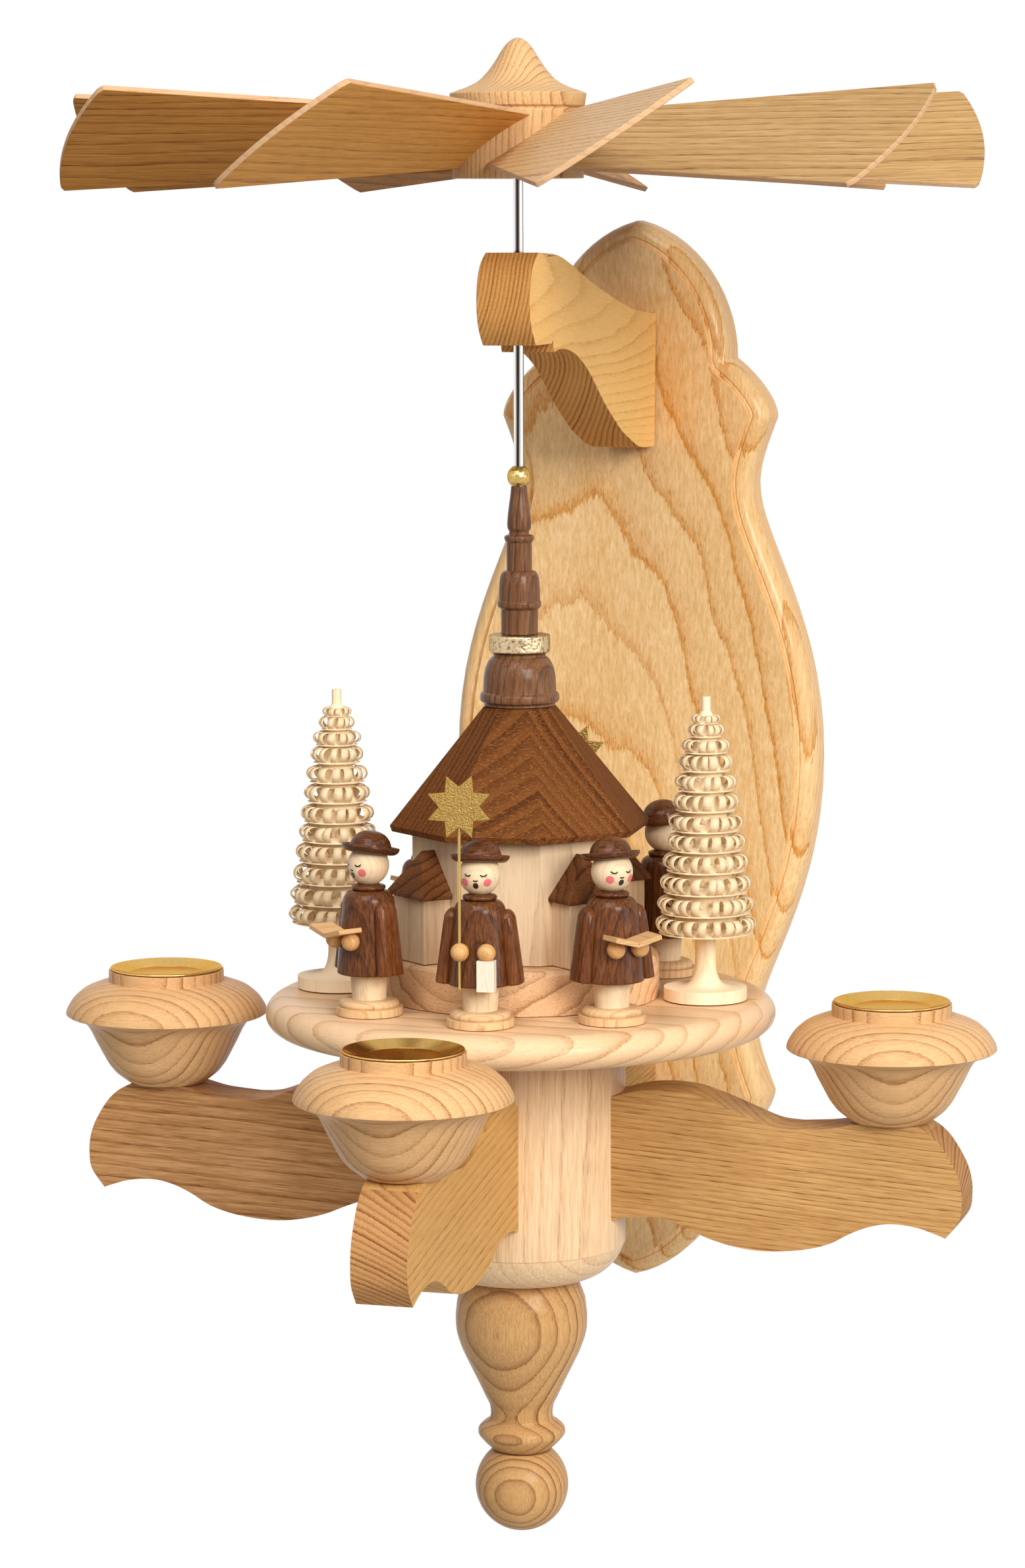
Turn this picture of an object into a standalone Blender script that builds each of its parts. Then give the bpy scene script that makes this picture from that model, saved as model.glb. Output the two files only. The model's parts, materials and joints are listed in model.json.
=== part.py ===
"""Wall-hung candle carousel: a moulded back board carries an upper arm and a turned post.

A steel shaft turns in a bush in the upper arm and on a point bearing in the post. It carries
the wooden rotor at the top and the turntable with the church, the singers and the two trees.
Three candle arms with turned bowls stand round the post, and their heat drives the rotor.

Metres, +Z up. The origin is on the wall face of the back board, at its middle height, and the
carousel stands in front of it, toward -Y.
"""

import math

import bmesh
import bpy
from mathutils import Matrix, Vector

OBJECT_NAME = "candle_carousel"

# Clearances
SEAT_GAP = 0.0003          # between glued or screwed faces
FIT_GAP = 0.0003           # round a peg, a tenon or a rod in its hole
RUNNING_GAP = 0.00035      # round the turning shaft in its bush
CUT_OVERRUN = 0.003        # how far a cutter runs past the face that it opens

# Turned pieces: how many sides a round has
FINE_SIDES = 34
ROUND_SIDES = 20
SMALL_SIDES = 12
TINY_SIDES = 10
SCREW_SIDES = 8
MERGE_DISTANCE = 0.000001

# Back board
BOARD_HEIGHT = 0.4614
BOARD_WIDTH = 0.162
BOARD_THICKNESS = 0.020
MOULDING_SIDE = 0.0105     # flat side of the board behind the moulding
OVOLO_WIDTH = 0.0062
FILLET_WIDTH = 0.0016
FILLET_RISE = 0.0014
FILLET_DRAFT = 0.0003      # how far the little riser leans
OVOLO_STEPS = 3
BOARD_CURVE_STEPS = 4
# One quarter of the outline as four curves, from the apex down to the belly. Each has a start,
# two handles and an end, as shares of half the width and half the height.
BOARD_CURVE_SHARES = (
    ((0.000, 1.000), (0.310, 0.972), (0.521, 0.860), (0.520, 0.7456)),
    ((0.520, 0.7456), (0.600, 0.725), (0.738, 0.675), (0.741, 0.637)),
    ((0.741, 0.637), (0.695, 0.595), (0.644, 0.550), (0.644, 0.514)),
    ((0.644, 0.514), (0.644, 0.410), (1.000, 0.270), (1.000, 0.000)),
)

# Keyhole recess in the back of the board, for the head of a wall screw
KEYHOLE_HEIGHT = 0.197
KEYHOLE_DEPTH = 0.009
KEYHOLE_ENTRY = 0.0115
KEYHOLE_NECK = 0.0055
KEYHOLE_CHANNEL = 0.0108
KEYHOLE_RISE = 0.014
KEYHOLE_LIP = 0.0035

# Shaft and its bearings
BOARD_TO_SHAFT = 0.1695
SHAFT_DIAMETER = 0.004
SHAFT_POINT = 0.004
BUSH_WALL = 0.0016
BUSH_LENGTH = 0.028
SHAFT_HOLE = 0.0056        # clear hole in the top of the upper arm
CUP_DIAMETER = 0.010
CUP_HEIGHT = 0.009
CUP_SEAT_DIAMETER = 0.0064
CUP_SEAT_DEPTH = 0.004
CUP_TOP_BELOW_POST = 0.040

# Stock that the arms are sawn from
ARM_THICKNESS = 0.022
ARM_CURVE_STEPS = 2

# Upper arm
UPPER_ARM_NOSE = 0.021     # how far the nose stands in front of the shaft
UPPER_ARM_TOP = 0.2187
UPPER_ARM_FALL = 0.0839    # from the top of the nose to the lowest point at the board
# Side outline from the board along the top, round the nose and back below. Shares of the arm's
# length from the board face, and of the fall.
UPPER_ARM_TOP_SHARES = (
    (0.000, 0.323), (0.196, 0.293), (0.334, 0.240), (0.512, 0.159), (0.663, 0.074),
    (0.775, 0.018), (0.865, 0.000),
)
UPPER_ARM_NOSE_SHARES = (
    (0.932, 0.000), (0.985, 0.100), (1.000, 0.215), (0.990, 0.325), (0.953, 0.428),
)
UPPER_ARM_CUSP_SHARES = ((0.844, 0.428), (0.833, 0.420), (0.823, 0.470))
UPPER_ARM_COVE_SHARES = (
    (0.728, 0.468), (0.655, 0.495), (0.600, 0.534), (0.492, 0.663), (0.357, 0.824),
    (0.219, 0.942), (0.102, 0.997), (0.000, 1.000),
)

# Post, its slots and the rear bracket
POST_DIAMETER = 0.084
POST_TOP = -0.0912
POST_LENGTH = 0.0996
POST_ROUNDING = 0.0183
ARM_LET_IN = 0.014         # how deep the arms are let into the post
MORTISE_DEPTH = 0.016
PEG_DIAMETER = 0.012

# Candle arms
CANDLE_REACH = 0.1515      # shaft to the middle of a bowl
CANDLE_ARM_TIP = 0.1820
CANDLE_ARM_SEAT = -0.1196  # height of the flat under a bowl
CANDLE_ARM_DROP = 0.0530   # from that flat to the belly of the arm
# Shares of the run from the post to the tip, and of the drop.
CANDLE_ARM_TOP_SHARES = (
    (0.000, -0.110), (0.075, -0.162), (0.160, -0.174), (0.265, -0.130), (0.385, -0.010),
    (0.470, 0.058), (0.560, 0.068), (0.700, 0.000),
)
CANDLE_ARM_END_SHARES = (
    (0.865, 0.000), (0.912, 0.066), (0.959, 0.219), (0.994, 0.430), (0.997, 0.610), (0.951, 0.821),
)
CANDLE_ARM_UNDER_SHARES = (
    (0.930, 0.798), (0.803, 0.736), (0.683, 0.828), (0.580, 0.955), (0.438, 1.000),
    (0.300, 0.948), (0.190, 0.838), (0.110, 0.792), (0.000, 0.835),
)
# The rear bracket is sawn from the same blank, but runs on level to the board.
BRACKET_UNDER_SHARES = (
    (0.000, 0.835), (0.120, 0.798), (0.260, 0.870), (0.480, 0.980), (0.760, 0.950),
    (1.000, 0.880),
)
BRACKET_TOP_SHARE = -0.110

# Wood screws through the back of the board
SCREW_DIAMETER = 0.0042
SCREW_HEAD = 0.0084
SCREW_LENGTH = 0.045
SCREW_HEAD_SINK = 0.0008
SCREW_POINT = 0.006
UPPER_SCREW_SHARES = (0.867, 0.485)      # below the top of the upper arm, of its fall
BRACKET_SCREW_SHARES = (0.630, 0.158)    # below the seat of a bowl, of the arm's drop

# Candle bowls and their brass inserts
BOWL_DIAMETER = 0.0824
BOWL_HEIGHT = 0.0464
BOWL_COLLAR_DIAMETER = 0.0472
BOWL_FOOT_DIAMETER = 0.031
# Outside of a bowl below its collar: shares of the bowl's radius, and of its height.
BOWL_OUTSIDE_SHARES = (
    (0.570, 0.096), (0.823, 0.175), (0.932, 0.261), (1.000, 0.372), (0.954, 0.433),
    (0.777, 0.537), (0.704, 0.627), (0.648, 0.722), (0.553, 0.864),
)
INSERT_RIM_DIAMETER = 0.0458
INSERT_FLOOR_DIAMETER = 0.0316
INSERT_DEPTH = 0.0033
INSERT_WALL = 0.0008

# Drop finial and ball below the post
DROP_LENGTH = 0.0716
DROP_DIAMETER = 0.0532
# Shares of the drop's radius and of its length, from the post down.
DROP_SHARES = (
    (0.830, 0.000), (0.950, 0.100), (1.000, 0.245), (0.970, 0.340), (0.870, 0.450),
    (0.610, 0.643), (0.478, 0.765), (0.500, 0.825), (0.668, 0.880), (0.655, 0.920),
    (0.435, 1.000),
)
DROP_BALL_DIAMETER = 0.0378
DROP_BALL_FLAT_SHARE = 0.77    # height of the flat above the ball's middle, of its radius
BALL_PEG_DIAMETER = 0.008
BALL_PEG_LENGTH = 0.010

# Rotor
HUB_TOP = 0.3020
HUB_BOTTOM = 0.2475
HUB_BODY_DIAMETER = 0.0524
HUB_FLANGE_DIAMETER = 0.0538
HUB_FLANGE_TOP = 0.2806
HUB_FLANGE_THICKNESS = 0.0050
HUB_GROOVE_DEPTH = 0.0012
# Bell on the flange: shares of the flange radius and of the bell's height, from the top.
HUB_BELL_SHARES = (
    (0.150, 0.010), (0.250, 0.180), (0.325, 0.385), (0.470, 0.640), (0.730, 0.900),
    (0.985, 1.000),
)
SHAFT_IN_HUB = 0.040
BLADE_COUNT = 9
BLADE_PITCH = math.radians(33.0)
BLADE_TIP_RADIUS = 0.1825
BLADE_ROOT_RADIUS = 0.0175
BLADE_ROOT_WIDTH = 0.0370
BLADE_TIP_WIDTH = 0.0682      # between the two corners of the tip
BLADE_TIP_ROUNDING = 0.0054   # how far the middle of the tip stands out past its corners
BLADE_THICKNESS = 0.0023
BLADE_HEIGHT = 0.2623
BLADE_TIP_STEPS = 7
FIRST_BLADE_TURN = math.radians(23.1)

# Turntable
REST_TURN = math.radians(4.7)
PLATE_DIAMETER = 0.2048
PLATE_TOP = -0.0762
PLATE_THICKNESS = 0.0136
PLATE_EDGE_SHARE = 0.50        # height of the widest line below the top, of the thickness
PLATE_TOP_ROUNDING = 0.0080
PLATE_UNDER_ROUNDING = 0.0080

# Church
PLINTH_DIAMETER = 0.1116
PLINTH_HEIGHT = 0.0173
PLINTH_ROUNDING = 0.0030
CHURCH_SIDES = 8
WALL_ACROSS_CORNERS = 0.0872
WALL_HEIGHT = 0.0488
ROOF_ACROSS_CORNERS = 0.1052
ROOF_HEIGHT = 0.0490
ROOF_TOP_DIAMETER = 0.0292
EAVE_THICKNESS = 0.0024
EAVE_CHAMFER = 0.0008
PORCH_COUNT = 4
PORCH_WIDTH = 0.0230
PORCH_REACH = 0.0525           # shaft to the outer face of a porch
PORCH_HEIGHT = 0.0253
PORCH_ROOF_RISE = 0.0166
PORCH_ROOF_EDGE = 0.0014
PORCH_OVERHANG = 0.0018
PORCH_HIP = 0.0080             # how far the ridge stops short of the eave
DOME_HEIGHT = 0.0209
DOME_DIAMETER = 0.0316
DOME_SHARES = (
    (0.650, 0.000), (0.780, 0.150), (0.865, 0.290), (0.915, 0.560), (0.930, 0.740),
    (1.000, 0.840), (0.990, 0.910), (0.905, 1.000),
)
DRUM_DIAMETER = 0.0245
DRUM_HEIGHT = 0.0070
DRUM_EDGE = 0.0005
SPIRE_HEIGHT = 0.0584
SPIRE_DIAMETER = 0.0174
# Shares of the spire's radius and of its height, from the tip down.
SPIRE_SHARES = (
    (0.366, 0.000), (0.549, 0.249), (0.457, 0.306), (0.680, 0.340), (0.680, 0.360),
    (0.580, 0.385), (0.580, 0.569), (0.880, 0.614), (0.947, 0.770), (1.000, 0.797),
    (0.848, 0.835), (0.848, 1.000),
)
BALL_DIAMETER = 0.0094
BALL_STEPS = 5

# Ring trees
TREE_REACH = 0.0750
TREE_HEIGHT = 0.1208
TREE_BASE_DIAMETER = 0.0330
TREE_BASE_HEIGHT = 0.0052
TREE_TRUNK_DIAMETER = 0.0084
TREE_STICK_DIAMETER = 0.0042
TREE_TIER_DIAMETER = 0.0400
# Each tier from the top: shares of the widest tier's radius and of the tree's height.
TREE_TIER_SHARES = (
    (0.290, 0.928), (0.370, 0.892), (0.480, 0.841), (0.545, 0.787), (0.620, 0.722),
    (0.670, 0.658), (0.740, 0.590), (0.790, 0.526), (0.855, 0.460), (0.910, 0.389),
    (0.960, 0.319), (1.000, 0.252),
)
TREE_VALLEY = 0.0032               # how deep the valley between two tiers is
TREE_CURLS = 6
TREE_CURL_SHARE = 0.10             # how deep the curls part, of the tier's radius
TREE_FLARE_SHARES = ((2.10, 0.00), (1.30, 0.25), (1.00, 1.00))

# Singers
SINGER_COUNT = 6
SINGER_REACH = 0.0750
SINGER_SPREAD = math.radians(40.0)
SINGER_BASE_DIAMETER = 0.0262
SINGER_BASE_HEIGHT = 0.0060
SINGER_BASE_STEP = 0.0030
SINGER_LEG_DIAMETER = 0.0142
# Leg and ring above the base disc: shares of the leg's radius and of the base's height.
LEG_SHARES = ((1.000, 2.700), (0.930, 1.000), (1.530, 0.900), (1.600, 0.500))
COAT_HEM = 0.0162
COAT_TOP = 0.0514
COAT_DIAMETER = 0.0250
# Coat from the rolled collar down to the hem: shares of the hem's radius and of the height.
COAT_SHARES = (
    (0.440, 0.000), (0.520, 0.030), (0.460, 0.070), (0.780, 0.155), (0.870, 0.430),
    (1.000, 0.985),
)
HEAD_DIAMETER = 0.0164
HEAD_HEIGHT = 0.0586
SLEEVE_LENGTH = 0.0290
SLEEVE_WIDTH_TOP = 0.0085
SLEEVE_WIDTH_HEM = 0.0105
SLEEVE_THICKNESS = 0.0062
SLEEVE_TILT = math.radians(7.5)
SLEEVE_STAND_OFF = 0.0120
HAND_DIAMETER = 0.0072
HAND_HEIGHT = 0.0302
HAND_SPREAD = 0.0052
HAND_FORWARD = 0.0126
BOOK_LEAF_WIDTH = 0.0105
BOOK_DEPTH = 0.0108
BOOK_THICKNESS = 0.0019
BOOK_OVERLAP = 0.0003              # how far the leaves run into each other at the fold
BOOK_LEAD = 0.0034                 # how far the book's middle lies in front of the hands
BOOK_FOLD = math.radians(14.0)
BOOK_SINK = 0.0007                 # how far the book is bedded on the hands
BOX_WIDTH = 0.0068
BOX_DEPTH = 0.0050
BOX_HEIGHT = 0.0122
BOX_SINK = 0.0010

# Hats
HAT_BRIM_DIAMETER = 0.0226
HAT_CROWN_DIAMETER = 0.0166
HAT_HEIGHT = 0.0084
HAT_BRIM_THICKNESS = 0.0018
# Rolled brim: shares of its width in from the edge, and of its thickness up.
BRIM_SHARES = ((0.600, 0.900), (0.100, 1.250), (0.300, 0.000))
HAT_TILT = math.radians(9.0)
HAT_SEAT_SHARE = 0.62              # height of the brim above the head's middle, of its radius
HAT_HOLLOW_SHARES = (1.0, 0.6, 0.0)  # steps of the hollow round the head, of its angle

# Star on its pole
POLE_DIAMETER = 0.0011
POLE_BOTTOM = 0.0158
STAR_POINTS = 8
STAR_DIAMETER = 0.0256
STAR_NOTCH_SHARE = 0.60
STAR_THICKNESS = 0.0022
STAR_HEIGHT = 0.0862
STAR_TURN = math.radians(12.0)

# Worked out from the sizes above
SHAFT_RADIUS = SHAFT_DIAMETER / 2
SHAFT_Y = -(BOARD_THICKNESS + BOARD_TO_SHAFT)
BOARD_FACE_Y = -BOARD_THICKNESS
SHAFT_BORE = SHAFT_RADIUS + FIT_GAP
CUP_TOP = POST_TOP - CUP_TOP_BELOW_POST
CUP_BOTTOM = CUP_TOP - CUP_HEIGHT
SHAFT_TIP = CUP_TOP - CUP_SEAT_DEPTH + SEAT_GAP
BUSH_RADIUS = SHAFT_RADIUS + RUNNING_GAP + BUSH_WALL
POST_RADIUS = POST_DIAMETER / 2
POST_BOTTOM = POST_TOP - POST_LENGTH
ARM_ROOT = POST_RADIUS - ARM_LET_IN
PLATE_BOTTOM = PLATE_TOP - PLATE_THICKNESS
DECK = PLATE_TOP + SEAT_GAP
PLINTH_TOP = DECK + PLINTH_HEIGHT
WALL_BOTTOM = PLINTH_TOP + SEAT_GAP
WALL_TOP = WALL_BOTTOM + WALL_HEIGHT
ROOF_BOTTOM = WALL_TOP + SEAT_GAP
ROOF_TOP = ROOF_BOTTOM + ROOF_HEIGHT
DOME_BOTTOM = ROOF_TOP + SEAT_GAP
DRUM_BOTTOM = DOME_BOTTOM + DOME_HEIGHT + SEAT_GAP
SPIRE_BOTTOM = DRUM_BOTTOM + DRUM_HEIGHT + SEAT_GAP
HUB_BORE_TOP = HUB_BOTTOM + SHAFT_IN_HUB
SHAFT_TOP = HUB_BORE_TOP - SEAT_GAP

PARTS = None
CUTTERS = None


# Scene, collections and materials

def empty_scene():
    """Remove what the file holds and make the two collections."""
    global PARTS, CUTTERS
    for old in list(bpy.data.objects):
        bpy.data.objects.remove(old, do_unlink=True)
    PARTS = bpy.data.collections.new(OBJECT_NAME)
    CUTTERS = bpy.data.collections.new("cutters")
    for collection in (PARTS, CUTTERS):
        bpy.context.scene.collection.children.link(collection)


def material(name, colour, roughness, metallic=0.0):
    """One Principled material."""
    made = bpy.data.materials.new(name)
    made.use_nodes = True
    shader = made.node_tree.nodes["Principled BSDF"]
    shader.inputs["Base Color"].default_value = (*colour, 1.0)
    shader.inputs["Roughness"].default_value = roughness
    shader.inputs["Metallic"].default_value = metallic
    made.diffuse_color = (*colour, 1.0)
    return made


def make_materials():
    """The woods and metals that the photograph shows."""
    return {
        "board_wood": material("board_wood", (0.83, 0.60, 0.34), 0.42),
        "arm_wood": material("arm_wood", (0.66, 0.42, 0.20), 0.45),
        "turned_wood": material("turned_wood", (0.76, 0.54, 0.31), 0.42),
        "blade_wood": material("blade_wood", (0.64, 0.42, 0.21), 0.50),
        "plinth_wood": material("plinth_wood", (0.60, 0.36, 0.20), 0.50),
        "wall_wood": material("wall_wood", (0.88, 0.74, 0.55), 0.50),
        "roof_wood": material("roof_wood", (0.21, 0.10, 0.05), 0.50),
        "coat_wood": material("coat_wood", (0.11, 0.035, 0.015), 0.30),
        "curl_wood": material("curl_wood", (0.88, 0.72, 0.50), 0.55),
        "brass": material("brass", (0.85, 0.60, 0.25), 0.22, 1.0),
        "gilt": material("gilt", (0.72, 0.52, 0.20), 0.38, 1.0),
        "steel": material("steel", (0.58, 0.57, 0.55), 0.22, 1.0),
    }


# Curves and profiles

def bezier(start, handle_1, handle_2, end, steps):
    """Points of one curve, without its last."""
    points = []
    for step in range(steps):
        t = step / steps
        s = 1 - t
        weights = (s ** 3, 3 * s * s * t, 3 * s * t * t, t ** 3)
        knots = (start, handle_1, handle_2, end)
        points.append(tuple(sum(w * k[axis] for w, k in zip(weights, knots)) for axis in (0, 1)))
    return points


def smooth_run(points, steps):
    """A smooth curve through the points, with its first and last."""
    run = []
    for i in range(len(points) - 1):
        before = points[max(i - 1, 0)]
        start, end = points[i], points[i + 1]
        after = points[min(i + 2, len(points) - 1)]
        handle_1 = tuple(s + (e - b) / 6 for s, e, b in zip(start, end, before))
        handle_2 = tuple(e - (a - s) / 6 for e, a, s in zip(end, after, start))
        run += bezier(start, handle_1, handle_2, end, steps)
    return run + [tuple(points[-1])]


def arc(centre, radii, first, last, steps):
    """Points round part of an ellipse, angles from +X toward +Z."""
    points = []
    for step in range(steps + 1):
        angle = first + (last - first) * step / steps
        points.append((centre[0] + radii[0] * math.cos(angle),
                       centre[1] + radii[1] * math.sin(angle)))
    return points


def profile_from(shares, radius, top, height):
    """A turned profile from shares of a radius and of a height below the top."""
    return [(r * radius, top - z * height) for r, z in shares]


# Objects

def add(name, mesh, finish, location=(0, 0, 0), parent=None, turn=0.0):
    """Put a mesh in the parts collection as a named object."""
    made = bpy.data.objects.new(name, mesh)
    if finish is None:
        CUTTERS.objects.link(made)
        made.hide_render = True
        made.display_type = "WIRE"
    else:
        PARTS.objects.link(made)
        mesh.materials.clear()
        mesh.materials.append(finish)
    made.location = location
    made.rotation_euler = (0, 0, turn)
    made.parent = parent
    return made


def turned(name, profile, finish, sides=ROUND_SIDES, closed=False, **place):
    """A turned piece: the profile runs down its outer side and a Screw carries it round."""
    mesh = bpy.data.meshes.new(name)
    form = bmesh.new()
    line = [form.verts.new((r, 0, z)) for r, z in profile]
    for first, second in zip(line, line[1:]):
        form.edges.new((first, second))
    if closed:
        form.edges.new((line[-1], line[0]))
    form.to_mesh(mesh)
    form.free()
    made = add(name, mesh, finish, **place)
    screw = made.modifiers.new("turning", "SCREW")
    screw.axis = "Z"
    screw.angle = math.tau
    screw.steps = sides
    screw.render_steps = sides
    screw.use_merge_vertices = True
    screw.merge_threshold = MERGE_DISTANCE
    screw.use_smooth_shade = sides > CHURCH_SIDES
    return made


def sawn(name, outline, thickness, finish, **place):
    """A flat piece sawn to an outline. The outline's plane is X and Z, the thickness is in Y."""
    curve = bpy.data.curves.new(name, "CURVE")
    curve.dimensions = "2D"
    curve.fill_mode = "BOTH"
    curve.extrude = thickness / 2
    spline = curve.splines.new("POLY")
    spline.points.add(len(outline) - 1)
    for point, (x, z) in zip(spline.points, outline):
        point.co = (x, z, 0, 1)
    spline.use_cyclic_u = True
    guide = bpy.data.objects.new(name + "_outline", curve)
    CUTTERS.objects.link(guide)
    mesh = bpy.data.meshes.new_from_object(guide.evaluated_get(bpy.context.evaluated_depsgraph_get()))
    bpy.data.objects.remove(guide, do_unlink=True)
    form = bmesh.new()
    form.from_mesh(mesh)
    bmesh.ops.remove_doubles(form, verts=form.verts, dist=MERGE_DISTANCE)
    bmesh.ops.rotate(form, verts=form.verts, matrix=Matrix.Rotation(math.pi / 2, 3, "X"))
    bmesh.ops.recalc_face_normals(form, faces=form.faces)
    form.to_mesh(mesh)
    form.free()
    return add(name, mesh, finish, **place)


def box(name, size, centre, lean=0.0, **place):
    """A plain block to cut or join with, which may lean about Y."""
    mesh = bpy.data.meshes.new(name)
    form = bmesh.new()
    bmesh.ops.create_cube(form, size=1.0)
    bmesh.ops.scale(form, verts=form.verts, vec=size)
    bmesh.ops.rotate(form, verts=form.verts, matrix=Matrix.Rotation(lean, 3, "Y"))
    bmesh.ops.translate(form, verts=form.verts, vec=centre)
    form.to_mesh(mesh)
    form.free()
    return add(name, mesh, None, **place)


def rod(name, radius, length, centre, sides=SMALL_SIDES, axis="Z"):
    """A plain round cutter."""
    mesh = bpy.data.meshes.new(name)
    form = bmesh.new()
    bmesh.ops.create_cone(form, cap_ends=True, segments=sides, radius1=radius, radius2=radius,
                          depth=length)
    if axis == "Y":
        bmesh.ops.rotate(form, verts=form.verts, matrix=Matrix.Rotation(math.pi / 2, 3, "X"))
    bmesh.ops.translate(form, verts=form.verts, vec=centre)
    form.to_mesh(mesh)
    form.free()
    return add(name, mesh, None)


def ball(name, diameter, centre, sides=TINY_SIDES):
    """A small ball to join to another piece."""
    mesh = bpy.data.meshes.new(name)
    form = bmesh.new()
    bmesh.ops.create_uvsphere(form, u_segments=sides, v_segments=sides // 2, radius=diameter / 2)
    bmesh.ops.translate(form, verts=form.verts, vec=centre)
    form.to_mesh(mesh)
    form.free()
    return add(name, mesh, None)


def combine(target, operation, *others):
    """Cut or join other shapes with a Boolean each."""
    for other in others:
        step = target.modifiers.new(other.name, "BOOLEAN")
        step.operation = operation
        step.solver = "EXACT"
        step.object = other


def set_solid(target):
    """Turn the modifiers of an object into its mesh, so that copies can share it."""
    seen = target.evaluated_get(bpy.context.evaluated_depsgraph_get())
    mesh = bpy.data.meshes.new_from_object(seen)
    target.modifiers.clear()
    target.data = mesh
    return mesh


# Back board

def board_outline():
    """The whole outline, clockwise from the apex, mirrored from its quarter."""
    half_width, half_height = BOARD_WIDTH / 2, BOARD_HEIGHT / 2
    quarter = []
    for curve in BOARD_CURVE_SHARES:
        knots = [(x * half_width, z * half_height) for x, z in curve]
        quarter += bezier(*knots, BOARD_CURVE_STEPS)
    lower = [(half_width, 0.0)] + [(x, -z) for x, z in reversed(quarter)]
    right = quarter + lower
    return right + [(-x, z) for x, z in reversed(right[1:-1])]


def back_board(woods):
    """The board, moulded all round its front, with its keyhole and screw holes."""
    mesh = bpy.data.meshes.new("back_board")
    form = bmesh.new()
    outline = [form.verts.new((x, 0, z)) for x, z in board_outline()]
    face = form.faces.new(outline)
    back = bmesh.ops.extrude_face_region(form, geom=[face])["geom"]
    moved = [g for g in back if isinstance(g, bmesh.types.BMVert)]
    bmesh.ops.translate(form, verts=moved, vec=(0, -MOULDING_SIDE, 0))
    bmesh.ops.recalc_face_normals(form, faces=form.faces)
    front = min(form.faces, key=lambda f: f.calc_center_median().y)
    ovolo_rise = BOARD_THICKNESS - MOULDING_SIDE - FILLET_RISE
    for step in range(OVOLO_STEPS):
        low, high = (math.pi / 2 * s / OVOLO_STEPS for s in (step, step + 1))
        bmesh.ops.inset_region(
            form, faces=[front], use_even_offset=True,
            thickness=OVOLO_WIDTH * (math.cos(low) - math.cos(high)),
            depth=ovolo_rise * (math.sin(high) - math.sin(low)))
    for width, rise in ((FILLET_WIDTH, 0), (FILLET_DRAFT, FILLET_RISE)):
        bmesh.ops.inset_region(form, faces=[front], use_even_offset=True, thickness=width, depth=rise)
    form.to_mesh(mesh)
    form.free()
    made = add("back_board", mesh, woods["board_wood"])
    cut_keyhole(made)
    for height in upper_screw_heights() + bracket_screw_heights():
        combine(made, "DIFFERENCE", screw_hole("board_screw_hole", height, CUT_OVERRUN))


def cut_keyhole(board):
    """An entry hole, a neck above it and the wider channel for the screw's head behind."""
    top = KEYHOLE_HEIGHT + KEYHOLE_RISE
    through = KEYHOLE_DEPTH + CUT_OVERRUN
    cuts = ((KEYHOLE_ENTRY, KEYHOLE_HEIGHT, through, CUT_OVERRUN),
            (KEYHOLE_NECK, top, through, CUT_OVERRUN),
            (KEYHOLE_CHANNEL, top, KEYHOLE_DEPTH - KEYHOLE_LIP, -KEYHOLE_LIP))
    for number, (width, height, depth, start) in enumerate(cuts):
        middle = start - depth / 2
        combine(board, "DIFFERENCE",
                rod("keyhole_round_%d" % number, width / 2, depth, (0, middle, height), axis="Y"))
        if height == top:
            centre = (0, middle, (top + KEYHOLE_HEIGHT) / 2)
            combine(board, "DIFFERENCE",
                    box("keyhole_run_%d" % number, (width, depth, KEYHOLE_RISE), centre))


# Screws

def screw_profile(clearance, end_run):
    """A countersunk wood screw from its head at zero to its point, or the hole for one."""
    head = SCREW_HEAD / 2 + clearance
    shank = SCREW_DIAMETER / 2 + clearance
    cone = SCREW_HEAD / 2 - SCREW_DIAMETER / 2
    profile = [(0, end_run), (head, end_run)]
    if end_run:
        profile.append((head, 0))
    return profile + [(shank, -cone), (shank, SCREW_POINT - SCREW_LENGTH),
                      (0, -SCREW_LENGTH - clearance)]


def lay_down(made, height, depth):
    """Turn an upright turned shape so that its head faces the wall."""
    made.rotation_euler = (-math.pi / 2, 0, 0)
    made.location = (0, -depth, height)
    return made


def upper_screw_heights():
    return [UPPER_ARM_TOP - share * UPPER_ARM_FALL for share in UPPER_SCREW_SHARES]


def bracket_screw_heights():
    return [CANDLE_ARM_SEAT - share * CANDLE_ARM_DROP for share in BRACKET_SCREW_SHARES]


def screw_hole(name, height, run):
    hole = turned(name, screw_profile(FIT_GAP, run), None, sides=SCREW_SIDES)
    return lay_down(hole, height, SCREW_HEAD_SINK)


def board_screws(metal):
    heights = dict(zip(("upper_arm_screw_low", "upper_arm_screw_high"), upper_screw_heights()))
    heights.update(zip(("bracket_screw_low", "bracket_screw_high"), bracket_screw_heights()))
    for name, height in heights.items():
        lay_down(turned(name, screw_profile(0, 0), metal, sides=SCREW_SIDES), height, SCREW_HEAD_SINK)


# Arms

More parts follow.
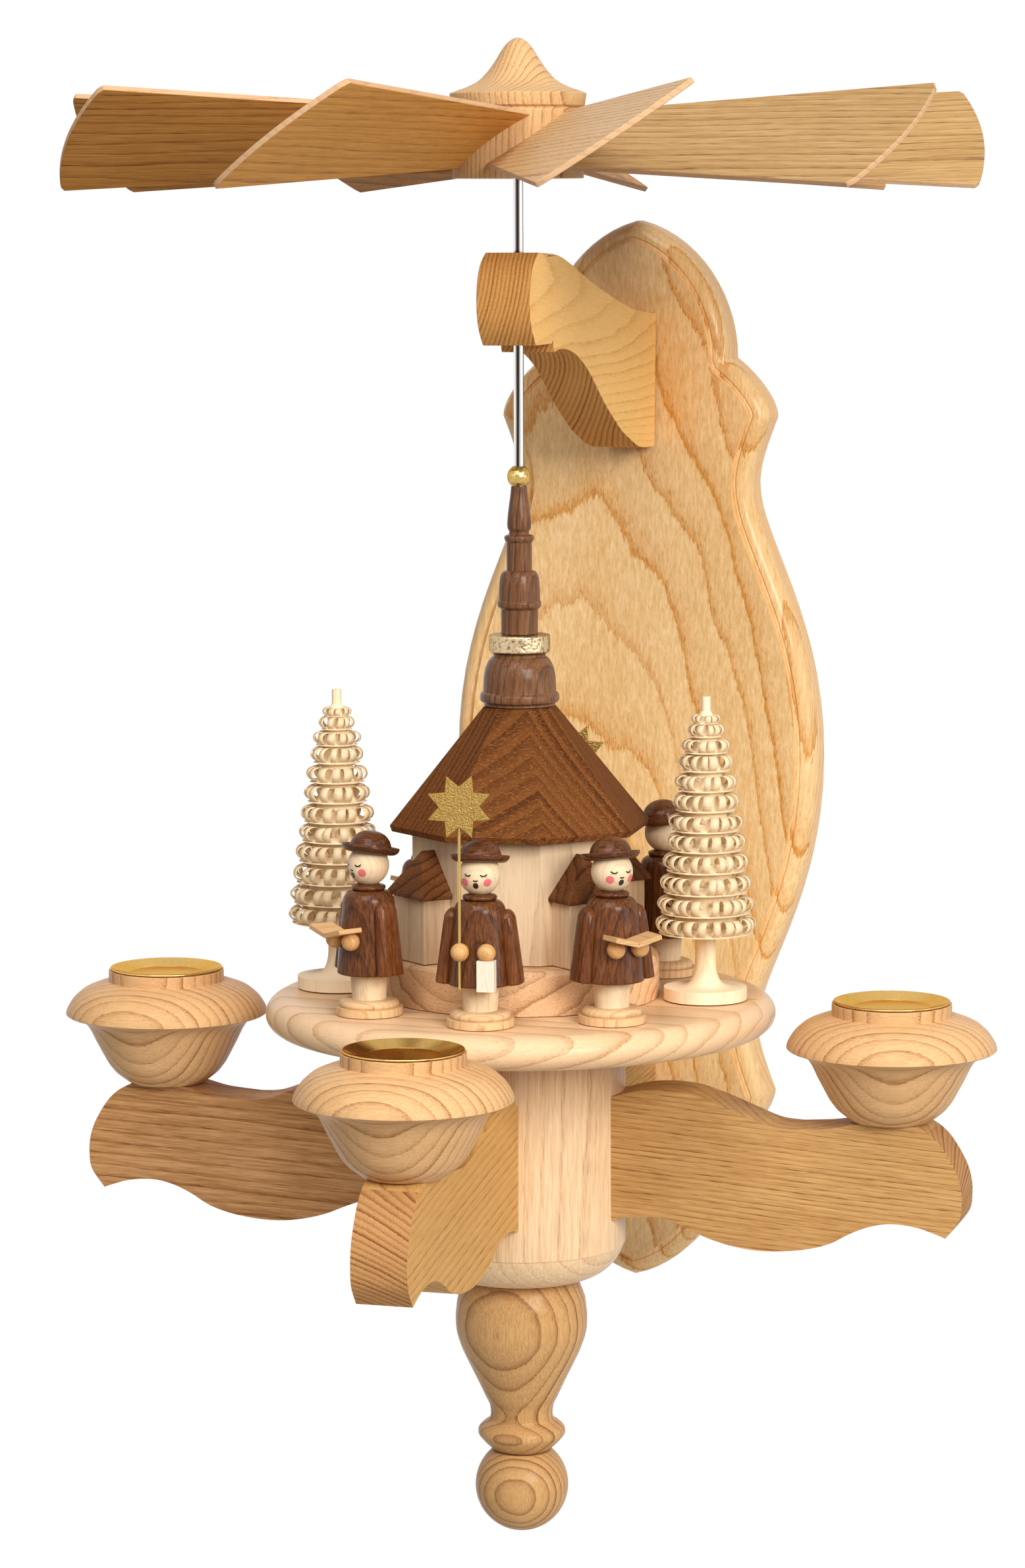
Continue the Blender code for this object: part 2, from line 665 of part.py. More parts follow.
def upper_arm(woods):
    """The arm that holds the top of the shaft, with its bush hole from below."""
    run = BOARD_TO_SHAFT + UPPER_ARM_NOSE - SEAT_GAP
    start = -BOARD_THICKNESS - SEAT_GAP

    def placed(shares):
        return [(start - x * run, UPPER_ARM_TOP - z * UPPER_ARM_FALL) for x, z in shares]

    outline = smooth_run(placed(UPPER_ARM_TOP_SHARES), ARM_CURVE_STEPS)
    outline += smooth_run(placed(UPPER_ARM_NOSE_SHARES), ARM_CURVE_STEPS)
    outline += placed(UPPER_ARM_CUSP_SHARES)
    outline += smooth_run(placed(UPPER_ARM_COVE_SHARES), ARM_CURVE_STEPS)
    made = sawn("upper_arm", outline, ARM_THICKNESS, woods["arm_wood"], turn=math.pi / 2)
    bush_run = BUSH_LENGTH + 2 * SEAT_GAP + CUT_OVERRUN
    nose_under = UPPER_ARM_TOP - UPPER_ARM_CUSP_SHARES[0][1] * UPPER_ARM_FALL
    bush_centre = nose_under - CUT_OVERRUN + bush_run / 2
    combine(made, "DIFFERENCE",
            rod("bush_hole", BUSH_RADIUS + FIT_GAP, bush_run, (0, SHAFT_Y, bush_centre)),
            rod("shaft_hole", SHAFT_HOLE / 2, UPPER_ARM_FALL, (0, SHAFT_Y, UPPER_ARM_TOP)))
    for height in upper_screw_heights():
        combine(made, "DIFFERENCE", screw_hole("upper_arm_screw_hole", height, 0))
    bore = SHAFT_RADIUS + RUNNING_GAP
    low, high = nose_under + SEAT_GAP, nose_under + SEAT_GAP + BUSH_LENGTH
    profile = [(bore, high), (BUSH_RADIUS, high), (BUSH_RADIUS, low), (bore, low)]
    turned("shaft_bush", profile, woods["brass"], SMALL_SIDES, True, location=(0, SHAFT_Y, 0))


def candle_arm_outline():
    """Side outline of a candle arm, run outward from its root in the post."""
    run = CANDLE_ARM_TIP - POST_RADIUS

    def placed(shares):
        return [(POST_RADIUS + x * run, CANDLE_ARM_SEAT - z * CANDLE_ARM_DROP) for x, z in shares]

    top = smooth_run(placed(CANDLE_ARM_TOP_SHARES), ARM_CURVE_STEPS)
    end = smooth_run(placed(CANDLE_ARM_END_SHARES), ARM_CURVE_STEPS)
    under = smooth_run(placed(CANDLE_ARM_UNDER_SHARES), ARM_CURVE_STEPS)
    return [(ARM_ROOT, top[0][1])] + top + end + under + [(ARM_ROOT, under[-1][1])]


def bracket_outline():
    """The rear bracket, from its root in the post to the board."""
    board = BOARD_TO_SHAFT - SEAT_GAP
    run = board - POST_RADIUS
    top = CANDLE_ARM_SEAT - BRACKET_TOP_SHARE * CANDLE_ARM_DROP
    under = [(POST_RADIUS + x * run, CANDLE_ARM_SEAT - z * CANDLE_ARM_DROP)
             for x, z in BRACKET_UNDER_SHARES]
    under = smooth_run(under, ARM_CURVE_STEPS)
    return [(ARM_ROOT, top), (board, top)] + under[::-1] + [(ARM_ROOT, under[0][1])]


ARM_TURNS = {"left": math.pi, "front": -math.pi / 2, "right": 0.0}


def candle_arms(woods):
    """Three arms at right angles, and the rear bracket as the fourth."""
    for side, turn in ARM_TURNS.items():
        sawn("candle_arm_" + side, candle_arm_outline(), ARM_THICKNESS, woods["arm_wood"],
             location=(0, SHAFT_Y, 0), turn=turn)
    bracket = sawn("rear_bracket", bracket_outline(), ARM_THICKNESS, woods["arm_wood"],
                   location=(0, SHAFT_Y, 0), turn=math.pi / 2)
    for height in bracket_screw_heights():
        combine(bracket, "DIFFERENCE", screw_hole("bracket_screw_hole", height, 0))


def candle_bowls(woods):
    """A turned bowl and its brass insert on each arm."""
    foot = CANDLE_ARM_SEAT + SEAT_GAP
    top = foot + BOWL_HEIGHT
    collar = BOWL_COLLAR_DIAMETER / 2
    rim = INSERT_RIM_DIAMETER / 2
    floor = INSERT_FLOOR_DIAMETER / 2
    lip = top + SEAT_GAP + INSERT_WALL
    mouth = rim - INSERT_WALL
    bottom = lip - INSERT_DEPTH
    insert = [(0, bottom + INSERT_WALL), (floor - INSERT_WALL, bottom + INSERT_WALL),
              (mouth, lip), (rim, lip), (rim, lip - INSERT_WALL),
              (mouth, lip - INSERT_WALL), (floor, bottom), (0, bottom)]
    hollow = [(0, bottom - SEAT_GAP), (floor + FIT_GAP, bottom - SEAT_GAP), (mouth + FIT_GAP, top)]
    outside = profile_from(BOWL_OUTSIDE_SHARES, BOWL_DIAMETER / 2, top, BOWL_HEIGHT)
    collar_foot = outside[0][1]
    bowl = hollow + [(collar, top), (collar, collar_foot)] + outside[1:]
    bowl += [(BOWL_FOOT_DIAMETER / 2, foot), (0, foot)]
    for side, turn in ARM_TURNS.items():
        centre = (CANDLE_REACH * math.cos(turn), SHAFT_Y + CANDLE_REACH * math.sin(turn), 0)
        turned("candle_bowl_" + side, bowl, woods["turned_wood"], ROUND_SIDES, location=centre)
        turned("tealight_insert_" + side, insert, woods["brass"], ROUND_SIDES, location=centre)


# Post, bearing and drop

def post(woods):
    """The turned post, with its bearing hole, four slots for the arms and a mortise below."""
    hole = CUP_DIAMETER / 2 + FIT_GAP
    hole_floor = CUP_BOTTOM - SEAT_GAP
    peg = PEG_DIAMETER / 2 + FIT_GAP
    rounding = arc((POST_RADIUS - POST_ROUNDING, POST_BOTTOM + POST_ROUNDING),
                   (POST_ROUNDING, POST_ROUNDING), 0, -math.pi / 2, 4)
    profile = [(0, hole_floor), (hole, hole_floor), (hole, POST_TOP), (POST_RADIUS, POST_TOP)]
    profile += rounding
    profile += [(peg, POST_BOTTOM), (peg, POST_BOTTOM + MORTISE_DEPTH),
                (0, POST_BOTTOM + MORTISE_DEPTH)]
    made = turned("post", profile, woods["turned_wood"], ROUND_SIDES, location=(0, SHAFT_Y, 0))
    arm = candle_arm_outline()
    for side, turn in ARM_TURNS.items():
        combine(made, "DIFFERENCE", arm_slot("slot_" + side, arm, turn))
    combine(made, "DIFFERENCE", arm_slot("slot_rear", bracket_outline(), math.pi / 2))


def arm_slot(name, outline, turn):
    """Cutter for the slot that an arm's root sits in: the root is the outline's first and last."""
    top, bottom = outline[0][1], outline[-1][1]
    depth = ARM_LET_IN + SEAT_GAP + CUT_OVERRUN
    size = (depth, ARM_THICKNESS + 2 * FIT_GAP, top - bottom + 2 * FIT_GAP)
    centre = (ARM_ROOT - SEAT_GAP + depth / 2, 0, (top + bottom) / 2)
    return box(name, size, centre, location=(0, SHAFT_Y, 0), turn=turn)


def foot_bearing(metal):
    """Brass cup with a coned seat for the point of the shaft."""
    radius = CUP_DIAMETER / 2
    seat = CUP_SEAT_DIAMETER / 2
    profile = [(0, CUP_TOP - CUP_SEAT_DEPTH), (seat, CUP_TOP), (radius, CUP_TOP),
               (radius, CUP_BOTTOM), (0, CUP_BOTTOM)]
    turned("foot_bearing", profile, metal, SMALL_SIDES, location=(0, SHAFT_Y, 0))


def drop(woods):
    """The turned drop below the post and the ball below that, each on a peg."""
    peg = PEG_DIAMETER / 2
    top = POST_BOTTOM - SEAT_GAP
    bottom = top - DROP_LENGTH
    hole = BALL_PEG_DIAMETER / 2 + FIT_GAP
    outside = profile_from(DROP_SHARES, DROP_DIAMETER / 2, top, DROP_LENGTH)
    hole_top = bottom + BALL_PEG_LENGTH + SEAT_GAP
    peg_top = POST_BOTTOM + MORTISE_DEPTH - SEAT_GAP
    profile = [(0, peg_top), (peg, peg_top), (peg, top)] + outside
    profile += [(hole, bottom), (hole, hole_top), (0, hole_top)]
    turned("drop_finial", profile, woods["turned_wood"], ROUND_SIDES, location=(0, SHAFT_Y, 0))
    radius = DROP_BALL_DIAMETER / 2
    flat = bottom - SEAT_GAP
    middle = flat - DROP_BALL_FLAT_SHARE * radius
    first = math.asin(DROP_BALL_FLAT_SHARE)
    round_side = arc((0, middle), (radius, radius), first, -math.pi / 2, BALL_STEPS)
    stem = BALL_PEG_DIAMETER / 2
    stem_top = bottom + BALL_PEG_LENGTH
    profile = [(0, stem_top), (stem, stem_top), (stem, flat)] + round_side[:-1]
    profile.append((0, middle - radius))
    turned("drop_ball", profile, woods["turned_wood"], ROUND_SIDES, location=(0, SHAFT_Y, 0))


# Rotor

def shaft(metal, axis):
    """The steel rod from its point in the bearing to the rotor hub."""
    profile = [(0, SHAFT_TOP), (SHAFT_RADIUS, SHAFT_TOP), (SHAFT_RADIUS, SHAFT_TIP + SHAFT_POINT),
               (0, SHAFT_TIP)]
    turned("shaft", profile, metal, SMALL_SIDES, parent=axis)


def rotor_hub(woods, axis):
    """The turned hub, with a slanting slot for each blade."""
    flange = HUB_FLANGE_DIAMETER / 2
    body = HUB_BODY_DIAMETER / 2
    flange_under = HUB_FLANGE_TOP - HUB_FLANGE_THICKNESS
    bell = profile_from(HUB_BELL_SHARES, flange, HUB_TOP, HUB_TOP - HUB_FLANGE_TOP)
    profile = [(0, HUB_TOP)] + bell
    profile += [(flange, HUB_FLANGE_TOP - HUB_GROOVE_DEPTH), (body, flange_under),
                (body - HUB_GROOVE_DEPTH, flange_under - HUB_GROOVE_DEPTH / 2),
                (body, flange_under - HUB_GROOVE_DEPTH), (body, HUB_BOTTOM),
                (SHAFT_BORE, HUB_BOTTOM), (SHAFT_BORE, HUB_BORE_TOP), (0, HUB_BORE_TOP)]
    made = turned("rotor_hub", profile, woods["turned_wood"], ROUND_SIDES, parent=axis)
    for index in range(BLADE_COUNT):
        slot = sawn_slot("blade_slot_%d" % (index + 1))
        pose_blade(slot, index, axis)
        combine(made, "DIFFERENCE", slot)


def blade_width_at(radius):
    """Half the width of a blade at a distance from the shaft."""
    corner_radius = BLADE_TIP_RADIUS - BLADE_TIP_ROUNDING
    run = (radius - BLADE_ROOT_RADIUS) / (corner_radius - BLADE_ROOT_RADIUS)
    return (BLADE_ROOT_WIDTH + (BLADE_TIP_WIDTH - BLADE_ROOT_WIDTH) * run) / 2


def blade_outline():
    """A wing that widens to a rounded tip."""
    corner = BLADE_TIP_WIDTH / 2
    bend = (corner * corner / BLADE_TIP_ROUNDING + BLADE_TIP_ROUNDING) / 2
    half_angle = math.asin(corner / bend)
    tip = arc((BLADE_TIP_RADIUS - bend, 0), (bend, bend), -half_angle, half_angle, BLADE_TIP_STEPS)
    root = blade_width_at(BLADE_ROOT_RADIUS)
    return [(BLADE_ROOT_RADIUS, -root)] + tip + [(BLADE_ROOT_RADIUS, root)]


def sawn_slot(name):
    """Cutter for one blade: the blade's own root with a gap all round."""
    inner = BLADE_ROOT_RADIUS - SEAT_GAP
    outer = HUB_BODY_DIAMETER / 2 + CUT_OVERRUN
    low, high = blade_width_at(inner) + FIT_GAP, blade_width_at(outer) + FIT_GAP
    outline = [(inner, -low), (outer, -high), (outer, high), (inner, low)]
    return sawn(name, outline, BLADE_THICKNESS + 2 * FIT_GAP, None)


def pose_blade(made, index, axis):
    """Stand a blade, or its cutter, out from the hub at its pitch."""
    turn = FIRST_BLADE_TURN + index * math.tau / BLADE_COUNT - math.pi / 2
    made.parent = axis
    made.location = (0, 0, BLADE_HEIGHT)
    made.rotation_euler = (BLADE_PITCH - math.pi / 2, 0, turn)


def rotor_blades(woods, axis):
    """Nine blades that share one mesh."""
    first = sawn("rotor_blade_1", blade_outline(), BLADE_THICKNESS, woods["blade_wood"])
    pose_blade(first, 0, axis)
    for index in range(1, BLADE_COUNT):
        pose_blade(add("rotor_blade_%d" % (index + 1), first.data, woods["blade_wood"]), index, axis)


# Turntable and church

def bored(outside, bottom, top):
    """Close an outside profile with the bore for the shaft."""
    return [(SHAFT_BORE, top)] + outside + [(SHAFT_BORE, bottom)]


def turntable(woods, axis):
    """The round plate with its rounded edge."""
    radius = PLATE_DIAMETER / 2
    widest = PLATE_TOP - PLATE_EDGE_SHARE * PLATE_THICKNESS
    upper = arc((radius - PLATE_TOP_ROUNDING, widest), (PLATE_TOP_ROUNDING, PLATE_TOP - widest),
                math.pi / 2, 0, 3)
    lower = arc((radius - PLATE_UNDER_ROUNDING, widest),
                (PLATE_UNDER_ROUNDING, widest - PLATE_BOTTOM), 0, -math.pi / 2, 3)
    turned("turntable_plate", bored(upper + lower[1:], PLATE_BOTTOM, PLATE_TOP),
           woods["turned_wood"], FINE_SIDES, True, parent=axis)


def church(woods, axis):
    """Plinth, eight-sided walls with four porches, roofs, dome, gilt drum, spire and ball."""
    plinth = PLINTH_DIAMETER / 2
    edge = arc((plinth - PLINTH_ROUNDING, PLINTH_TOP - PLINTH_ROUNDING),
               (PLINTH_ROUNDING, PLINTH_ROUNDING), math.pi / 2, 0, 2)
    turned("church_plinth", bored(edge + [(plinth, DECK)], DECK, PLINTH_TOP),
           woods["plinth_wood"], ROUND_SIDES, True, parent=axis)
    corner_turn = math.pi / CHURCH_SIDES
    corner = WALL_ACROSS_CORNERS / 2
    walls = turned("church_walls",
                   bored([(corner, WALL_TOP), (corner, WALL_BOTTOM)], WALL_BOTTOM, WALL_TOP),
                   woods["wall_wood"], CHURCH_SIDES, True, parent=axis, turn=corner_turn)
    eave = ROOF_ACROSS_CORNERS / 2
    roof = [(ROOF_TOP_DIAMETER / 2, ROOF_TOP), (eave, ROOF_BOTTOM + EAVE_THICKNESS),
            (eave - EAVE_CHAMFER, ROOF_BOTTOM)]
    turned("church_roof", bored(roof, ROOF_BOTTOM, ROOF_TOP), woods["roof_wood"], CHURCH_SIDES,
           True, parent=axis, turn=corner_turn)
    for index in range(PORCH_COUNT):
        turn = (index + 0.5) * math.tau / PORCH_COUNT
        combine(walls, "UNION", porch_block("porch_%d" % (index + 1), axis, turn))
        porch_roof("porch_roof_%d" % (index + 1), woods, axis, turn)
    steeple(woods, axis)


def wall_face():
    """Distance from the shaft to a flat of the eight-sided walls."""
    return WALL_ACROSS_CORNERS / 2 * math.cos(math.pi / CHURCH_SIDES)


def porch_block(name, axis, turn):
    """The walls of a porch, run into the church walls that they are glued to."""
    inner = wall_face() / 2
    size = (PORCH_REACH - inner, PORCH_WIDTH, PORCH_HEIGHT)
    centre = ((PORCH_REACH + inner) / 2, 0, WALL_BOTTOM + PORCH_HEIGHT / 2)
    return box(name, size, centre, parent=axis, turn=turn)


def porch_roof(name, woods, axis, turn):
    """A hipped roof that butts against the church wall."""
    back = wall_face() + SEAT_GAP
    front = PORCH_REACH + PORCH_OVERHANG
    half = PORCH_WIDTH / 2 + PORCH_OVERHANG
    low = WALL_BOTTOM + PORCH_HEIGHT + SEAT_GAP
    edge = low + PORCH_ROOF_EDGE
    ridge = edge + PORCH_ROOF_RISE
    mesh = bpy.data.meshes.new(name)
    form = bmesh.new()
    corners = [(back, -half, low), (front, -half, low), (front, half, low), (back, half, low),
               (back, -half, edge), (front, -half, edge), (front, half, edge), (back, half, edge),
               (back, 0, ridge), (front - PORCH_HIP, 0, ridge)]
    for corner in corners:
        form.verts.new(corner)
    bmesh.ops.convex_hull(form, input=form.verts)
    bmesh.ops.recalc_face_normals(form, faces=form.faces)
    form.to_mesh(mesh)
    form.free()
    add(name, mesh, woods["roof_wood"], parent=axis, turn=turn)


def steeple(woods, axis):
    """What stands on the roof, threaded on the shaft one above the other."""
    dome = profile_from(DOME_SHARES, DOME_DIAMETER / 2, DOME_BOTTOM + DOME_HEIGHT, DOME_HEIGHT)
    turned("lantern_dome", bored(dome, DOME_BOTTOM, DOME_BOTTOM + DOME_HEIGHT),
           woods["roof_wood"], TINY_SIDES, True, parent=axis)
    drum = DRUM_DIAMETER / 2
    top = DRUM_BOTTOM + DRUM_HEIGHT
    side = [(drum - DRUM_EDGE, top), (drum, top - DRUM_EDGE), (drum, DRUM_BOTTOM)]
    turned("gilt_drum", bored(side, DRUM_BOTTOM, top), woods["gilt"], SMALL_SIDES, True, parent=axis)
    tip = SPIRE_BOTTOM + SPIRE_HEIGHT
    spire = profile_from(SPIRE_SHARES, SPIRE_DIAMETER / 2, tip, SPIRE_HEIGHT)
    turned("spire", bored(spire, SPIRE_BOTTOM, tip), woods["roof_wood"], TINY_SIDES, True,
           parent=axis)
    radius = BALL_DIAMETER / 2
    flat = SPIRE_SHARES[0][0] * SPIRE_DIAMETER / 2
    lift = math.sqrt(radius ** 2 - flat ** 2)
    middle = tip + SEAT_GAP + lift
    first = math.acos(SHAFT_BORE / radius)
    last = -math.asin(lift / radius)
    side = arc((0, middle), (radius, radius), first, last, BALL_STEPS)
    turned("gilt_ball", side + [(SHAFT_BORE, middle - lift)], woods["gilt"], TINY_SIDES, True,
           parent=axis)


# Ring trees

def tree_profile():
    """Stick, crown of tiers, trunk and base, from the top down, standing at zero."""
    stick = TREE_STICK_DIAMETER / 2
    trunk = TREE_TRUNK_DIAMETER / 2
    tiers = [(r * TREE_TIER_DIAMETER / 2, z * TREE_HEIGHT) for r, z in TREE_TIER_SHARES]
    pitches = [high[1] - low[1] for high, low in zip(tiers, tiers[1:])]
    profile = [(0, TREE_HEIGHT), (stick, TREE_HEIGHT), (stick, tiers[0][1] + pitches[0] / 2)]
    for (radius, middle), pitch in zip(tiers, pitches + pitches[-1:]):
        valley = max(radius - TREE_VALLEY, stick)
        profile += [(radius, middle), (valley, middle - pitch / 2)]
    crown_foot = profile[-1][1]
    flare = profile_from(TREE_FLARE_SHARES, trunk, TREE_BASE_HEIGHT, TREE_BASE_HEIGHT - crown_foot)
    base = TREE_BASE_DIAMETER / 2
    return profile + flare[::-1] + [(base, TREE_BASE_HEIGHT), (base, 0), (0, 0)]


def ring_trees(woods, axis):
    """Two trees with tiers of shaved curls, opposite each other."""
    first = turned("ring_tree_right", tree_profile(), woods["curl_wood"], 2 * TREE_CURLS,
                   parent=axis, location=(TREE_REACH, 0, DECK))
    part_curls(set_solid(first))
    second = add("ring_tree_left", first.data, woods["curl_wood"], parent=axis,
                 location=(-TREE_REACH, 0, DECK), turn=math.pi)
    return first, second


def part_curls(mesh):
    """Press the tiers in between one curl and the next."""
    crown_foot = (TREE_TIER_SHARES[-1][1] - TREE_CURL_SHARE / 2) * TREE_HEIGHT
    for vertex in mesh.vertices:
        x, y, z = vertex.co
        if z > crown_foot and math.hypot(x, y) > TREE_STICK_DIAMETER / 2 + FIT_GAP:
            wave = (1 - math.cos(TREE_CURLS * math.atan2(y, x))) / 2
            share = 1 - TREE_CURL_SHARE * wave
            vertex.co = (x * share, y * share, z)


# Singers

def singer_profile():
    """Base, leg, coat and neck, from the top down, standing at zero."""
    base = SINGER_BASE_DIAMETER / 2
    coat = profile_from(COAT_SHARES, COAT_DIAMETER / 2, COAT_TOP, COAT_TOP - COAT_HEM)
    legs = [(r * SINGER_LEG_DIAMETER / 2, z * SINGER_BASE_HEIGHT) for r, z in LEG_SHARES]
    foot = [(base, SINGER_BASE_STEP), (base, 0), (0, 0)]
    return [(0, COAT_TOP)] + coat + [(legs[0][0], COAT_HEM)] + legs[1:] + foot


def sleeve(name, side):
    """One sleeve, a flattened cone glued down the side of the coat."""
    mesh = bpy.data.meshes.new(name)
    form = bmesh.new()
    bmesh.ops.create_cone(form, cap_ends=True, segments=SCREW_SIDES, radius1=SLEEVE_WIDTH_HEM / 2,
                          radius2=SLEEVE_WIDTH_TOP / 2, depth=SLEEVE_LENGTH)
    bmesh.ops.scale(form, verts=form.verts, vec=(SLEEVE_THICKNESS / SLEEVE_WIDTH_HEM, 1, 1))
    turn = Matrix.Rotation(-side * SLEEVE_TILT, 3, "Y")
    bmesh.ops.rotate(form, verts=form.verts, matrix=turn)
    centre = (side * SLEEVE_STAND_OFF, 0, COAT_HEM + SLEEVE_LENGTH / 2 + SEAT_GAP)
    bmesh.ops.translate(form, verts=form.verts, vec=centre)
    form.to_mesh(mesh)
    form.free()
    return add(name, mesh, None)


def figure(name, finish, extras, holes=()):
    """A turned singer facing -Y, joined to its sleeves, head, hands and what it carries."""
    made = turned(name, singer_profile(), finish, TINY_SIDES)
    for side in (-1, 1):
        combine(made, "UNION", sleeve("%s_sleeve_%d" % (name, side), side))
    combine(made, "UNION", ball(name + "_head", HEAD_DIAMETER, (0, 0, HEAD_HEIGHT)))
    for side in (-1, 1):
        centre = (side * HAND_SPREAD, -HAND_FORWARD, HAND_HEIGHT)
        combine(made, "UNION", ball("%s_hand_%d" % (name, side), HAND_DIAMETER, centre, SCREW_SIDES))
    combine(made, "UNION", *extras)
    combine(made, "DIFFERENCE", *holes)
    return set_solid(made)


def book(name):
    """An open book, its leaves falling to the middle, bedded on the two hands."""
    across, up = math.cos(BOOK_FOLD), math.sin(BOOK_FOLD)
    over_hand = HAND_HEIGHT + HAND_DIAMETER / 2 - BOOK_SINK
    fold = over_hand - HAND_SPREAD * up / across
    leaves = []
    for side in (-1, 1):
        centre = (side * ((BOOK_LEAF_WIDTH * across - BOOK_THICKNESS * up) / 2 - BOOK_OVERLAP),
                  -HAND_FORWARD - BOOK_LEAD,
                  fold + (BOOK_LEAF_WIDTH * up + BOOK_THICKNESS * across) / 2)
        leaves.append(box("%s_leaf_%d" % (name, side), (BOOK_LEAF_WIDTH, BOOK_DEPTH, BOOK_THICKNESS),
                          centre, lean=-side * BOOK_FOLD))
    return leaves


def hat_profile():
    """A round hat with a rolled brim, about the middle of the head that it covers."""
    crown = HAT_CROWN_DIAMETER / 2
    brim = HAT_BRIM_DIAMETER / 2
    skull = HEAD_DIAMETER / 2 + SEAT_GAP
    under = HAT_SEAT_SHARE * skull
    rest = math.acos(HAT_SEAT_SHARE)
    hollow = [(skull * math.sin(rest * t), skull * math.cos(rest * t)) for t in HAT_HOLLOW_SHARES]
    dome = arc((0, under + HAT_BRIM_THICKNESS), (crown, HAT_HEIGHT - HAT_BRIM_THICKNESS),
               math.pi / 2, 0, 3)
    roll = [(brim - (brim - crown) * out, under + HAT_BRIM_THICKNESS * up) for out, up in BRIM_SHARES]
    return dome + roll + [(r + FIT_GAP if r else 0, z + SEAT_GAP * (z > under)) for r, z in hollow]


def star_outline():
    """An eight-pointed star with a notch at its lowest, over the pole."""
    outline = []
    for step in range(2 * STAR_POINTS):
        angle = step * math.pi / STAR_POINTS - math.pi / 2
        reach = STAR_DIAMETER / 2 * (1 if step % 2 else STAR_NOTCH_SHARE)
        outline.append((reach * math.cos(angle), reach * math.sin(angle)))
    return outline


def star_pole(woods):
    """A brass pole with the star pushed on its end."""
    radius = POLE_DIAMETER / 2
    top = STAR_HEIGHT
    profile = [(0, top), (radius, top), (radius, POLE_BOTTOM), (0, POLE_BOTTOM)]
    made = turned("star_pole", profile, woods["brass"], SCREW_SIDES)
    star = sawn("star", star_outline(), STAR_THICKNESS, None, location=(0, 0, STAR_HEIGHT),
                turn=STAR_TURN)
    combine(made, "UNION", star)
    return set_solid(made)


def singers(woods, axis):
    """Six singers in two groups of three: a star bearer between two with books."""
    coat = woods["coat_wood"]
    pole_spot = Vector((-HAND_SPREAD, -HAND_FORWARD, 0))
    pole_hole = rod("pole_hole", POLE_DIAMETER / 2 + FIT_GAP, 2 * HAND_DIAMETER,
                    pole_spot + Vector((0, 0, HAND_HEIGHT)), SCREW_SIDES)
    hangs_at = HAND_HEIGHT - HAND_DIAMETER / 2 + BOX_SINK - BOX_HEIGHT / 2
    carried = box("carried_box", (BOX_WIDTH, BOX_DEPTH, BOX_HEIGHT),
                  (HAND_SPREAD, -HAND_FORWARD, hangs_at))
    bearer = figure("star_bearer", coat, [carried], [pole_hole])
    reader = figure("reader", coat, book("book"))
    hat = set_solid(turned("hat", hat_profile(), coat, TINY_SIDES))
    pole = star_pole(woods)
    for pattern in ("star_bearer", "reader", "hat", "star_pole"):
        bpy.data.objects.remove(bpy.data.objects[pattern], do_unlink=True)
    for number in range(SINGER_COUNT):
        group, place = divmod(number, SINGER_COUNT // 2)
        turn = (place - 1) * SINGER_SPREAD + group * math.pi
        stand = Matrix.Rotation(turn, 4, "Z") @ Matrix.Translation((0, -SINGER_REACH, DECK))
        label = "singer_%d" % (number + 1)
        mesh = bearer if place == 1 else reader
        add(label, mesh, coat, parent=axis).matrix_local = stand
        tilt = Matrix.Translation((0, 0, HEAD_HEIGHT)) @ Matrix.Rotation(-HAT_TILT, 4, "X")
        add(label + "_hat", hat, coat, parent=axis).matrix_local = stand @ tilt
        if place == 1:
            raised = stand @ Matrix.Translation(pole_spot)
            add(label + "_star", pole, woods["brass"], parent=axis).matrix_local = raised


def build():
    empty_scene()
    woods = make_materials()
    axis = bpy.data.objects.new("carousel_axis", None)
    PARTS.objects.link(axis)
    axis.location = (0, SHAFT_Y, 0)
    axis.rotation_euler = (0, 0, REST_TURN)
    back_board(woods)
    board_screws(woods["steel"])
    upper_arm(woods)
    candle_arms(woods)
    candle_bowls(woods)
    post(woods)
    foot_bearing(woods["brass"])
    drop(woods)
    shaft(woods["steel"], axis)
    rotor_hub(woods, axis)
    rotor_blades(woods, axis)
    turntable(woods, axis)
    church(woods, axis)
    ring_trees(woods, axis)
    singers(woods, axis)


build()
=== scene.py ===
"""Photographic look for the wall-hung candle carousel.

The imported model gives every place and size: a piece is worked out from the box of the node that
it stands for. Profiles and outlines are shares of those boxes.
"""

import json
import math
import random

import bmesh
import bpy
from mathutils import Matrix, Vector
from mathutils.geometry import tessellate_polygon


